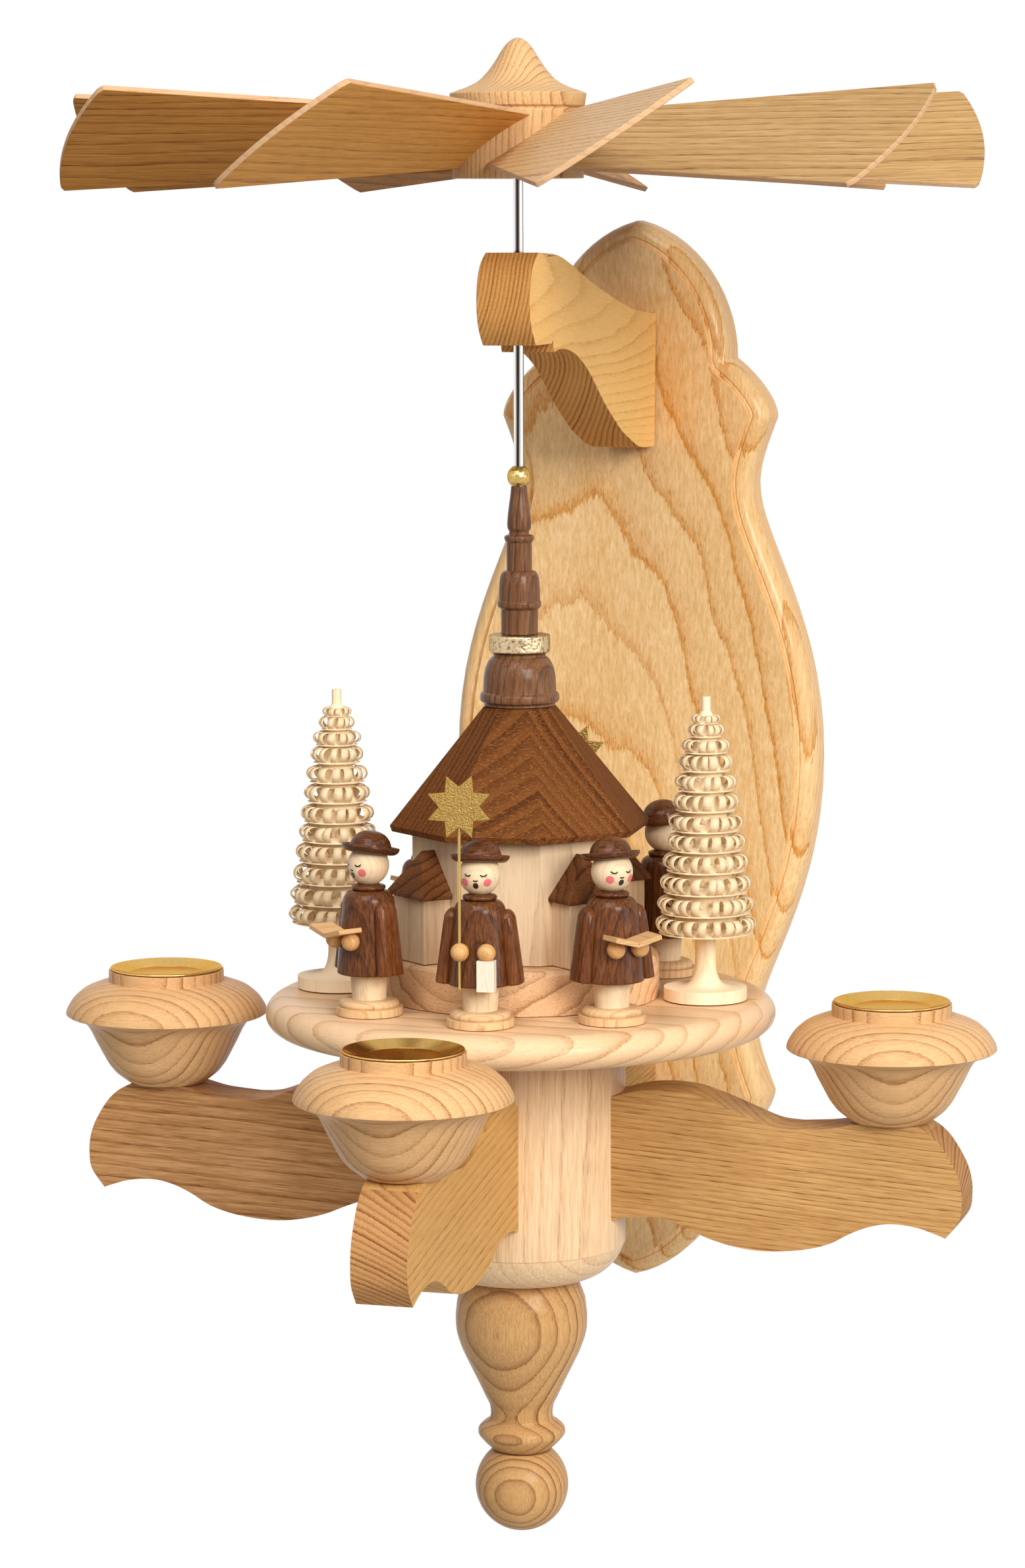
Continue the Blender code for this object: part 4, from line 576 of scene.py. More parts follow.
def stamp(made, grain, face, pith=60, tilt=0.0, seed=0, centre=None, zoom=1.0):
    """Write timber coordinates: along the grain, and from a pith that lies behind the face.

    The pith is so many millimetres behind the middle, and the grain is tilted by degrees.
    """
    tilt = math.radians(tilt)
    corners = [Vector(c) for c in made.bound_box]
    middle = sum(corners, Vector()) / 8 if centre is None else centre
    grain = grain.normalized()
    face = (face - grain * face.dot(grain)).normalized()
    along = grain * math.cos(tilt) + face * math.sin(tilt)
    away = face * math.cos(tilt) - grain * math.sin(tilt)
    across = along.cross(away)
    shift = random.Random(seed).uniform(-400, 400)
    values = []
    for vertex in made.data.vertices:
        spot = (vertex.co - middle) / MM * zoom
        values += (spot.dot(along) + shift, spot.dot(away) + pith, spot.dot(across))
    layer = made.data.attributes.new(GRAIN, "FLOAT_VECTOR", "POINT")
    layer.data.foreach_set("vector", values)


def dress(made, finish, body, node, edge=0.0, angle=28.0):
    """Give a piece its finish and its body, and hide the node that it stands for."""
    made.data.materials.append(FINISHES[finish])
    ease(made, edge, angle)
    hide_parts(node)
    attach(made, body)


def two_faced(made, other, normal, below=0.7, above=2.0):
    """Give the other finish to faces that look along the normal by less or by more than a limit."""
    made.data.materials.append(FINISHES[other])
    for side in made.data.polygons:
        facing = abs(side.normal.dot(normal))
        side.material_index = int(facing < below or facing > above)


def box_of(node):
    """Middle, half size, low and high of a node's box."""
    low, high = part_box(node)
    return (low + high) / 2, (high - low) / 2, low, high


def upright(node):
    """Matrix that stands a turned piece on the axis of its node, at height zero."""
    middle = box_of(node)[0]
    return move((middle.x, middle.y, 0))


def scaled(shares, radius, top, height, steps=5):
    """A turned profile in metres from shares of a radius and of a height below the top."""
    return smooth_run([(r * radius, top - z * height) for r, z in shares], steps)


def turn_node(node, shares, finish, body, edge=0.0003, **timber):
    """The finer turned piece that stands for one node."""
    _, half, low, high = box_of(node)
    profile = scaled(shares, half.x, high.z, high.z - low.z)
    made = turned(node + "_fine", profile, upright(node))
    stamp(made, **timber)
    dress(made, finish, body, node, edge)


# Back board

BOARD_CURVE_SHARES = (
    ((0, 1), (0.31, 0.972), (0.521, 0.86), (0.52, 0.7456)),
    ((0.52, 0.7456), (0.6, 0.725), (0.738, 0.675), (0.741, 0.637)),
    ((0.741, 0.637), (0.695, 0.595), (0.644, 0.55), (0.644, 0.514)),
    ((0.644, 0.514), (0.644, 0.41), (1, 0.27), (1, 0)),
)
BOARD_STEPS = 14
BOARD_SIDE_SHARE = 0.525       # flat side, of the thickness
OVOLO_SHARE = 0.310            # width of the quarter round, of the thickness
FILLET_SHARE = 0.100
RISER_SHARE = 0.085
RISER_DRAFT_SHARE = 0.012
GROOVE_SHARE = 0.022           # depth of the fine line beside the quarter round
OVOLO_STEPS = 8
BOARD_PITH_SHARE = 0.32        # how far left of the middle line the flame runs


def board_outline(half_width, half_height):
    """The closed outline as one list, clockwise from the apex seen from the front."""
    run = []
    for knots in BOARD_CURVE_SHARES:
        for step in range(BOARD_STEPS):
            t = step / BOARD_STEPS
            weights = ((1 - t) ** 3, 3 * t * (1 - t) ** 2, 3 * t * t * (1 - t), t ** 3)
            run.append(Vector((sum(w * k[0] for w, k in zip(weights, knots)) * half_width,
                               sum(w * k[1] for w, k in zip(weights, knots)) * half_height)))
    lower = [Vector((half_width, 0))] + [Vector((p.x, -p.y)) for p in reversed(run)]
    right = run + lower
    return right + [Vector((-p.x, p.y)) for p in reversed(right[1:-1])]


def crossing(a, b, c, d):
    """Where the pieces ab and cd cross, if they do."""
    first, second = b - a, d - c
    area = first.cross(second)
    if abs(area) < 1e-16:
        return None
    t, u = (c - a).cross(second) / area, (c - a).cross(first) / area
    return a + first * t if 0 <= t <= 1 and 0 <= u <= 1 else None


CORNER_TURN = math.radians(4)
FAN = 6
EAR_REACH = 12


def inset_rings(outline, depths):
    """The outline drawn inward by each depth: round at a notch, mitred at a point."""
    count = len(outline)
    places, pulls, points = [], [], []
    for index, spot in enumerate(outline):
        before = (spot - outline[index - 1]).normalized()
        after = (outline[(index + 1) % count] - spot).normalized()
        first, second = Vector((before.y, -before.x)), Vector((after.y, -after.x))
        turn = math.atan2(before.cross(after), before.dot(after))
        if turn > CORNER_TURN:
            for step in range(FAN + 1):
                pull = first.slerp(second, step / FAN)
                places.append(spot)
                pulls.append(pull)
            continue
        if turn < -CORNER_TURN:
            points.append(len(places))
        middle = (first + second).normalized()
        places.append(spot)
        pulls.append(middle / middle.dot(first))
    rings = []
    total = len(places)
    for depth in depths:
        ring = [place + pull * depth for place, pull in zip(places, pulls)]
        for point in points if depth else ():
            for back in range(EAR_REACH, -1, -1):
                found = None
                for ahead in range(EAR_REACH, -1, -1):
                    if back + ahead == 0:
                        continue
                    a, b = (point - back - 1) % total, (point - back) % total
                    c, d = (point + ahead) % total, (point + ahead + 1) % total
                    found = crossing(ring[a], ring[b], ring[c], ring[d])
                    if found:
                        break
                if found:
                    for step in range(-back, ahead + 1):
                        ring[(point + step) % total] = found
                    break
        rings.append(ring)
    return rings


# Keyhole in the back of the board: width, top above its round, depth, and where the cut starts
KEYHOLE_HEIGHT = 0.197
KEYHOLE_RISE = 0.014
KEYHOLE_CUTS = (
    (0.0115, 0.0, 0.009, 0.0), (0.0055, KEYHOLE_RISE, 0.009, 0.0), (0.0108, KEYHOLE_RISE, 0.009, 0.0035),
)
KEYHOLE_SIDES = 48
CUT_OVERRUN = 0.001
BACK_SCREWS = ("upper_arm_screw_low", "upper_arm_screw_high", "bracket_screw_low", "bracket_screw_high")


def board_cutters(back):
    """Solids to cut from the board's back: the keyhole and a countersunk hole for each screw."""
    cutters = []
    for width, rise, depth, start in KEYHOLE_CUTS:
        ring = []
        for step in range(KEYHOLE_SIDES):
            angle = math.tau * (step + 0.5) / KEYHOLE_SIDES
            lift = rise if math.sin(angle) > 0 else 0
            ring.append((math.cos(angle) * width / 2, KEYHOLE_HEIGHT + lift + math.sin(angle) * width / 2))
        near = back - start + (0 if start else CUT_OVERRUN)
        middle = move((0, (near + back - depth) / 2, 0))
        cutters.append(sawn("keyhole_cut", ring, near - back + depth, middle))
    for node in BACK_SCREWS:
        middle, half, low, high = box_of(node)
        sink = high.y - half.x / 2
        profile = [(0, back + CUT_OVERRUN), (half.x, back + CUT_OVERRUN), (half.x, high.y),
                   (half.x / 2, sink), (half.x / 2, low.y), (0, low.y)]
        lie = move((middle.x, 0, middle.z)) @ spin(-math.pi / 2, "X")
        cutters.append(turned("screw_cut", profile, lie, 32))
    return cutters


def cut_away(made, cutters):
    """Cut the solids from the piece and drop them."""
    for cutter in cutters:
        cut = made.modifiers.new("cut", "BOOLEAN")
        cut.object = cutter
        cut.solver = "EXACT"
    solid = made.evaluated_get(bpy.context.evaluated_depsgraph_get())
    made.data = bpy.data.meshes.new_from_object(solid)
    made.modifiers.clear()
    for cutter in cutters:
        bpy.data.objects.remove(cutter)


def make_board():
    _, half, low, high = box_of("back_board")
    thickness = high.y - low.y
    ovolo, fillet, riser = (s * thickness for s in (OVOLO_SHARE, FILLET_SHARE, RISER_SHARE))
    shoulder = high.y - BOARD_SIDE_SHARE * thickness
    rise = shoulder - low.y - riser
    steps = [(0, high.y)]
    for step in range(OVOLO_STEPS + 1):
        angle = math.pi / 2 * step / OVOLO_STEPS
        steps.append((ovolo * (1 - math.cos(angle)), shoulder - rise * math.sin(angle)))
    level, groove = low.y + riser, GROOVE_SHARE * thickness
    steps += [(ovolo + fillet * 0.30, level + groove), (ovolo + fillet * 0.60, level),
              (ovolo + fillet, level), (ovolo + fillet + RISER_DRAFT_SHARE * thickness, low.y)]
    rings = inset_rings(board_outline(half.x, half.z), [inset for inset, _ in steps])
    form = bmesh.new()
    loops = [[form.verts.new((p.x, y, p.y)) for p in ring] for ring, (_, y) in zip(rings, steps)]
    count = len(loops[0])
    for lower, upper in zip(loops, loops[1:]):
        for i in range(count):
            after = (i + 1) % count
            form.faces.new((lower[i], lower[after], upper[after], upper[i]))
    for loop in (loops[0], loops[-1]):
        for triangle in tessellate_polygon([[v.co for v in loop]]):
            form.faces.new([loop[i] for i in triangle])
    bmesh.ops.remove_doubles(form, verts=form.verts, dist=1e-6)
    bmesh.ops.dissolve_degenerate(form, edges=form.edges, dist=1e-6)
    made = new_object("board_fine", form)
    cut_away(made, board_cutters(high.y))
    stamp(made, UP, OUT, pith=90, tilt=-11, seed=3,
          centre=Vector((-BOARD_PITH_SHARE * half.x, low.y, 0)))
    dress(made, "board_ash", FIXED, "back_board", edge=0.0002, angle=22.0)
    two_faced(made, "board_edge_ash", OUT, below=0.2)


# Arms

UPPER_ARM_OUTLINE_SHARES = (
    (0, 0.323), (0.06, 0.318), (0.197, 0.293), (0.335, 0.24), (0.514, 0.159), (0.665, 0.074), (0.76, 0.026),
    (0.822, 0.009), (0.822, 0.009), (0.934, 0), (0.934, 0), (0.972, 0.052), (0.994, 0.13), (1, 0.215),
    (0.996, 0.3), (0.98, 0.37), (0.955, 0.43), (0.955, 0.43), (0.842, 0.428), (0.842, 0.428), (0.83, 0.41),
    (0.83, 0.41), (0.822, 0.47), (0.822, 0.47), (0.78, 0.458), (0.729, 0.462), (0.665, 0.486),
    (0.601, 0.534), (0.547, 0.59), (0.492, 0.663), (0.425, 0.75), (0.358, 0.824), (0.29, 0.892),
    (0.22, 0.942), (0.16, 0.98), (0.102, 0.996), (0, 1), (0, 1),
)
UPPER_ARM_PITH_SHARE = 0.16


def make_upper_arm():
    middle, half, low, high = box_of("upper_arm")
    run, fall = high.y - low.y, high.z - low.z
    shares = [(high.y - x * run, high.z - z * fall) for x, z in UPPER_ARM_OUTLINE_SHARES]
    outline = smooth_run(shares, 5)[:-1]
    made = sawn("upper_arm_fine", outline, half.x * 2, spin(math.pi / 2, "Z"))
    stamp(made, OUT + UP * 0.06, RIGHT, pith=52, tilt=3, seed=5,
          centre=Vector((0, middle.y, high.z - UPPER_ARM_PITH_SHARE * fall)))
    dress(made, "upper_arm_ash", FIXED, "upper_arm", edge=0.0004)
    # faces that don't look sideways get the darker copy: end grain on the nose, partly painted shade
    two_faced(made, "upper_end_grain_and_painted_shade_ash", RIGHT)


# Shares of the run from the post to the tip, and of the drop below the bowl's seat
CANDLE_ARM_SHARES = (
    (0, -0.11), (0.03, -0.136), (0.068, -0.16), (0.11, -0.172), (0.16, -0.174), (0.222, -0.155),
    (0.294, -0.097), (0.375, -0.016), (0.446, 0.053), (0.5, 0.07), (0.538, 0.067), (0.619, 0.048),
    (0.68, 0.01), (0.704, 0), (0.704, 0), (0.865, 0), (0.865, 0), (0.898, 0.04), (0.931, 0.115),
    (0.959, 0.219), (0.982, 0.334), (0.994, 0.442), (0.997, 0.549), (0.99, 0.679), (0.951, 0.821),
    (0.951, 0.821), (0.931, 0.8), (0.871, 0.752), (0.801, 0.736), (0.741, 0.763), (0.681, 0.828),
    (0.62, 0.917), (0.539, 0.975), (0.438, 1), (0.356, 0.983), (0.274, 0.93), (0.212, 0.862),
    (0.161, 0.812), (0.109, 0.793), (0.045, 0.804), (0, 0.835),
)
BRACKET_SHARES = (
    (1, 0.88), (0.76, 0.95), (0.48, 0.98), (0.26, 0.87), (0.12, 0.798), (0, 0.835),
)
# How far each arm's grain rises and its rings lean, and its finish
ARM_GRAIN = {
    "left": (0.03, 0.3, "arm_wide_ash"),
    "front": (-0.2, -0.45, "arm_front_ash"),
    "right": (-0.09, 0.3, "arm_ash"),
}
BOWL_TURNS = {"left": math.pi, "front": -math.pi / 2, "right": 0.0}
BOWL_LEANS = {"left": 0.40, "front": 0.30, "right": 0.08}
CANDLE_ARM_TIP_SHARE = 0.997
LET_IN = 0.012
SEAT_GAP = 0.0003


def make_candle_arms():
    post_radius = box_of("post")[1].x
    seat = box_of("candle_bowl_right")[2].z - SEAT_GAP
    _, half, low, high = box_of("candle_arm_right")
    run = (high.x - SHAFT.x - post_radius) / CANDLE_ARM_TIP_SHARE
    drop = seat - low.z
    outline = [(post_radius + x * run, seat - z * drop) for x, z in CANDLE_ARM_SHARES]
    outline = smooth_run(outline, 4)
    root = post_radius - LET_IN
    outline = [(root, outline[0][1])] + outline + [(root, outline[-1][1])]
    for seed, (side, turn) in enumerate(BOWL_TURNS.items()):
        place = about_shaft(turn)
        made = sawn("candle_arm_%s_fine" % side, outline, half.y * 2, place)
        along = place.to_3x3() @ RIGHT
        flank = place.to_3x3() @ OUT
        slant, lean, finish = ARM_GRAIN[side]
        stamp(made, along + UP * slant, UP + flank * lean, pith=110, tilt=1, seed=11 + seed)
        dress(made, finish, FIXED, "candle_arm_" + side, edge=0.0005)
        two_faced(made, "arm_end_ash", along, below=-1.0, above=0.55)
    _, half, low, high = box_of("rear_bracket")
    reach = high.y - SHAFT.y
    under = [(post_radius + x * (reach - post_radius), seat - z * drop) for x, z in BRACKET_SHARES]
    outline = [(root, high.z), (reach, high.z)] + smooth_run(under, 4) + [(root, under[-1][1])]
    place = about_shaft(math.pi / 2)
    made = sawn("rear_bracket_fine", outline, half.x * 2, place)
    stamp(made, Vector((0, 1, 0.05)), UP, pith=48, seed=17)
    dress(made, "arm_ash", FIXED, "rear_bracket", edge=0.0005)


# Bowls, inserts, post and drop

BOWL_SHARES = (
    (0, 0.33), (0.48, 0.33), (0.48, 0.33), (0.52, 0), (0.52, 0), (0.56, 0), (0.57, 0.008), (0.57, 0.096),
    (0.57, 0.096), (0.655, 0.116), (0.745, 0.144), (0.823, 0.175), (0.882, 0.216), (0.932, 0.261),
    (0.984, 0.334), (1, 0.382), (1, 0.382), (0.985, 0.392), (0.985, 0.392), (0.88, 0.42), (0.815, 0.458),
    (0.768, 0.512), (0.736, 0.566), (0.704, 0.627), (0.648, 0.722), (0.592, 0.815), (0.553, 0.864),
    (0.507, 0.912), (0.427, 0.968), (0.376, 1), (0.376, 1), (0, 1),
)
INSERT_SHARES = (
    (0, 0.758), (0.635, 0.758), (0.655, 0.75), (0.672, 0.724), (0.945, 0.04), (0.958, 0.01), (0.975, 0),
    (0.992, 0.02), (1, 0.09), (0.996, 0.18), (0.985, 0.24), (0.965, 0.24), (0.69, 0.985), (0.67, 1),
    (0.67, 1), (0, 1),
)
POST_SHARES = [(0, 0), (0.988, 0), (1, 0.006), (1, 0.4)] \
    + quarter((1, 0.816), (0.564, 1)) + [(0.564, 1), (0, 1)]
DROP_SHARES = (
    (0, 0), (0.81, 0), (0.81, 0), (0.86, 0.026), (0.914, 0.073), (0.969, 0.13), (0.989, 0.187), (1, 0.244),
    (0.98, 0.327), (0.9, 0.418), (0.785, 0.51), (0.665, 0.602), (0.551, 0.693), (0.491, 0.739),
    (0.471, 0.785), (0.48, 0.818), (0.51, 0.833), (0.51, 0.833), (0.586, 0.853), (0.647, 0.876),
    (0.662, 0.899), (0.642, 0.922), (0.532, 0.968), (0.432, 1), (0.432, 1), (0, 1),
)
BALL_FLAT_SHARE = 0.77         # height of its flat top over its middle
BALL_STEPS = 32


def make_fixed_turnings():
    for seed, side in enumerate(BOWL_TURNS):
        face = TO_VIEWER - RIGHT * BOWL_LEANS[side]
        turn_node("candle_bowl_" + side, BOWL_SHARES, "bowl_ash", FIXED, grain=face.cross(UP), face=face,
                  pith=230, tilt=2, seed=21 + seed)
        turn_node("tealight_insert_" + side, INSERT_SHARES, "brass", FIXED, edge=0.0,
                  grain=UP, face=OUT)
    turn_node("post", POST_SHARES, "post_ash", FIXED, grain=UP, face=RIGHT + TO_VIEWER * 0.30, pith=62,
              tilt=0.6, seed=31)
    _, half, low, _ = box_of("drop_finial")
    top = box_of("post")[2].z - SEAT_GAP
    made = turned("drop_fine", scaled(DROP_SHARES, half.x, top, top - low.z), upright("drop_finial"))
    stamp(made, UP, TO_VIEWER - RIGHT * 0.35, pith=75, tilt=2, seed=33)
    dress(made, "drop_ash", FIXED, "drop_finial", edge=0.0003)
    _, half, low, _ = box_of("drop_ball")
    radius = half.x
    middle = low.z + radius
    first = math.asin(BALL_FLAT_SHARE)
    profile = [(0, middle + radius * BALL_FLAT_SHARE)]
    for step in range(BALL_STEPS + 1):
        angle = first - (first + math.pi / 2) * step / BALL_STEPS
        profile.append((max(0.0, radius * math.cos(angle)), middle + radius * math.sin(angle)))
    profile[-1] = (0, low.z)
    made = turned("drop_ball_fine", profile, upright("drop_ball"))
    stamp(made, UP, TO_VIEWER - RIGHT * 0.18, pith=90, tilt=4, seed=34, zoom=1.7)
    dress(made, "drop_ash", FIXED, "drop_ball", edge=0.0002)


# Rotor

HUB_SHARES = (
    (0, 0), (0.04, 0.004), (0.09, 0.014), (0.177, 0.05), (0.239, 0.092), (0.325, 0.161), (0.43, 0.233),
    (0.568, 0.303), (0.741, 0.349), (0.874, 0.372), (0.996, 0.394), (0.996, 0.394), (1, 0.405), (1, 0.405),
    (0.974, 0.485), (0.974, 0.485), (0.93, 0.5), (0.93, 0.5), (0.96, 0.52), (0.96, 0.52), (0.96, 1),
    (0.96, 1), (0, 1),
)
BLADE_PITCH = math.radians(33.0)
BLADE_THICKNESS = 0.0023
BLADE_TIP_RADIUS = 0.1825
BLADE_ROOT_RADIUS = 0.0175
BLADE_ROOT_WIDTH = 0.0370
BLADE_TIP_WIDTH = 0.0682
BLADE_TIP_ROUNDING = 0.0054
BLADE_HEIGHT = 0.2623
FIRST_BLADE_TURN = math.radians(23.1)
BLADE_CORNER = 0.0010
TIP_STEPS = 14


def blade_outline():
    corner, root = BLADE_TIP_WIDTH / 2, BLADE_ROOT_WIDTH / 2
    bend = (corner ** 2 / BLADE_TIP_ROUNDING + BLADE_TIP_ROUNDING) / 2
    widest = math.asin(corner / bend)
    middle = BLADE_TIP_RADIUS - bend
    shoulder = BLADE_TIP_RADIUS - BLADE_TIP_ROUNDING - BLADE_CORNER
    run = []
    for step in range(1 - TIP_STEPS, TIP_STEPS):
        angle = widest * step / TIP_STEPS
        run.append((middle + bend * math.cos(angle), bend * math.sin(angle)))
    edge = corner - (corner - root) * BLADE_CORNER / (shoulder - BLADE_ROOT_RADIUS)
    return [(BLADE_ROOT_RADIUS, -root), (shoulder, -edge), *run, (shoulder, edge), (BLADE_ROOT_RADIUS, root)]


# The finish of each blade round the hub: the three blades on the left get a darker copy of the blade timber
# as painted shade, the two on the right a paler copy as painted sheen
BLADE_FINISHES_WITH_PAINTED_LIGHT = (
    "hub_ash", "blade_painted_sheen_ash", "blade_painted_sheen_ash", "blade_ash", "blade_ash", "blade_painted_shade_ash",
    "blade_painted_shade_ash", "blade_painted_shade_ash", "blade_ash",
)


def make_rotor():
    turn_node("rotor_hub", HUB_SHARES, "hub_ash", TURNING, grain=UP, face=RIGHT + TO_VIEWER * 0.15,
              pith=70, tilt=2, seed=41)
    # the shaft's steel carries a painted reflection in bright and dark bands
    turn_node("shaft", ((0.0, 0.0), (1.0, 0.0), (1.0, 0.0), (1.0, 0.991), (1.0, 0.991), (0.0, 1.0)),
              "shaft_steel_painted_reflection", TURNING, edge=0.0, grain=UP, face=OUT)
    for index in range(BLADES):
        turn = REST_TURN + FIRST_BLADE_TURN + index * math.tau / BLADES - math.pi / 2
        place = move(SHAFT + UP * BLADE_HEIGHT) @ spin(turn, "Z") @ spin(BLADE_PITCH - math.pi / 2, "X")
        made = sawn("blade_%d_fine" % (index + 1), blade_outline(), BLADE_THICKNESS, place)
        lot = random.Random(index)
        turned_to = place.to_3x3()
        grain = turned_to @ (RIGHT + UP * lot.uniform(-0.03, 0.05))
        face = turned_to @ (OUT + UP * lot.uniform(0.5, 1.6))
        stamp(made, grain, face, pith=lot.uniform(40, 90), tilt=lot.uniform(0.2, 1.2),
              seed=51 + index)
        dress(made, BLADE_FINISHES_WITH_PAINTED_LIGHT[index], TURNING, "rotor_blade_%d" % (index + 1), edge=0.0004)
        two_faced(made, "blade_edge_ash", turned_to @ OUT)


# Turntable and church

PLATE_SHARES = [(0, 0), (0.922, 0)] + quarter((0.922, 0), (1, 0.5), "out") \
    + quarter((1, 0.5), (0.922, 1))[1:] + [(0.922, 1), (0, 1)]
PLINTH_SHARES = [(0, 0), (0.945, 0)] + quarter((0.945, 0), (1, 0.17), "out", 5) \
    + [(1, 1), (1, 1), (0, 1)]
DOME_SHARES = (
    (0, 0), (0.64, 0), (0.66, 0.02), (0.665, 0.06), (0.72, 0.095), (0.79, 0.16), (0.865, 0.29),
    (0.905, 0.45), (0.92, 0.64), (0.93, 0.74), (0.93, 0.74), (0.985, 0.775), (1, 0.83), (1, 0.88),
    (0.975, 0.925), (0.905, 0.945), (0.905, 1), (0.905, 1), (0, 1),
)
DRUM_SHARES = (
    (0, 0), (0.965, 0), (0.965, 0), (1, 0.08), (1, 0.08), (1, 0.92), (1, 0.92), (0.965, 1), (0.965, 1),
    (0, 1),
)
SPIRE_SHARES = (
    (0, 0), (0.366, 0), (0.366, 0), (0.4, 0.06), (0.5, 0.17), (0.549, 0.249), (0.53, 0.285), (0.457, 0.306),
    (0.457, 0.325), (0.457, 0.325), (0.64, 0.335), (0.682, 0.352), (0.64, 0.37), (0.58, 0.38), (0.58, 0.38),
    (0.58, 0.48), (0.58, 0.569), (0.58, 0.569), (0.76, 0.58), (0.878, 0.614), (0.935, 0.68), (0.947, 0.74),
    (0.947, 0.775), (0.947, 0.775), (1, 0.785), (1, 0.812), (0.93, 0.825), (0.848, 0.835), (0.848, 0.835),
    (0.848, 1), (0.848, 1), (0, 1),
)
CHURCH_SIDES = 8


def make_church():
    turn_node("turntable_plate", PLATE_SHARES, "plate_ash", TURNING, grain=RIGHT,
              face=UP + OUT * 0.30, pith=150, tilt=3, seed=61)
    turn_node("church_plinth", PLINTH_SHARES, "plinth_pear", TURNING, grain=RIGHT,
              face=UP + OUT * 0.6, pith=70, tilt=4, seed=62)
    turn_node("lantern_dome", DOME_SHARES, "turned_walnut", TURNING, grain=UP, face=RIGHT + TO_VIEWER * 0.3,
              pith=80, tilt=2, seed=63)
    turn_node("gilt_drum", DRUM_SHARES, "gilt", TURNING, grain=UP, face=OUT)
    turn_node("spire", SPIRE_SHARES, "turned_walnut", TURNING, grain=UP, face=RIGHT + TO_VIEWER * 0.3,
              pith=60, tilt=2, seed=64)
    make_gilt_ball()
    make_walls()
    make_roofs()


GILT_BALL_FLAT_SHARE = 0.49       # radius of its flat top
GILT_BALL_FIRST = math.radians(62)
GILT_BALL_SWEEP = math.radians(110)


def make_gilt_ball():
    _, half, _, high = box_of("gilt_ball")
    radius = half.x
    middle = high.z - radius * math.sqrt(1 - GILT_BALL_FLAT_SHARE ** 2)
    profile = []
    for step in range(BALL_STEPS + 1):
        angle = GILT_BALL_FIRST - GILT_BALL_SWEEP * step / BALL_STEPS
        profile.append((radius * math.cos(angle), middle + radius * math.sin(angle)))
    made = turned("gilt_ball_fine", profile, upright("gilt_ball"))
    dress(made, "ball_gilt", TURNING, "gilt_ball")


def octagon_place():
    return about_shaft(REST_TURN + math.pi / CHURCH_SIDES)


WALL_CORNER = 0.0436
PORCH_REACH = 0.0525
PORCH_ROOT_SHARE = 0.8          # where a porch starts inside the wall
PORCH_WIDTH = 0.0230
PORCH_HEIGHT = 0.0253


def make_walls():
    """An eight-sided nave and a block for each porch."""
    _, _, low, high = box_of("church_walls")
    form = bmesh.new()
    lathe(form, [(0, high.z), (WALL_CORNER, high.z), (WALL_CORNER, low.z), (0, low.z)], CHURCH_SIDES)
    made = new_object("nave_fine", form, octagon_place())
    stamp(made, UP, TO_VIEWER, pith=60, tilt=1, seed=71)
    dress(made, "wall_maple", TURNING, "church_walls", edge=0.0003)
    for index in range(4):
        turn = spin(REST_TURN + (index + 0.5) * math.pi / 2, "Z")
        form = bmesh.new()
        inner = WALL_CORNER * PORCH_ROOT_SHARE
        place = (PORCH_REACH + inner) / 2
        block(form, (PORCH_REACH - inner, PORCH_WIDTH, PORCH_HEIGHT),
              move((place, 0, low.z + PORCH_HEIGHT / 2)))
        made = new_object("porch_%d_fine" % (index + 1), form, move(SHAFT) @ turn)
        stamp(made, UP, turn.to_3x3() @ Vector((1, 0.4, 0)), pith=40, tilt=1, seed=73 + index)
        dress(made, "wall_maple", TURNING, "church_walls", edge=0.0003)


PORCH_OVERHANG = 0.0018
PORCH_HIP = 0.0080
PORCH_EDGE = 0.0014
EAVE, EAVE_LEAN = 0.0024, 0.0008
ROOF_TOP_CORNER = 0.0146
ROOF_GRAIN_TURN = math.radians(-9)


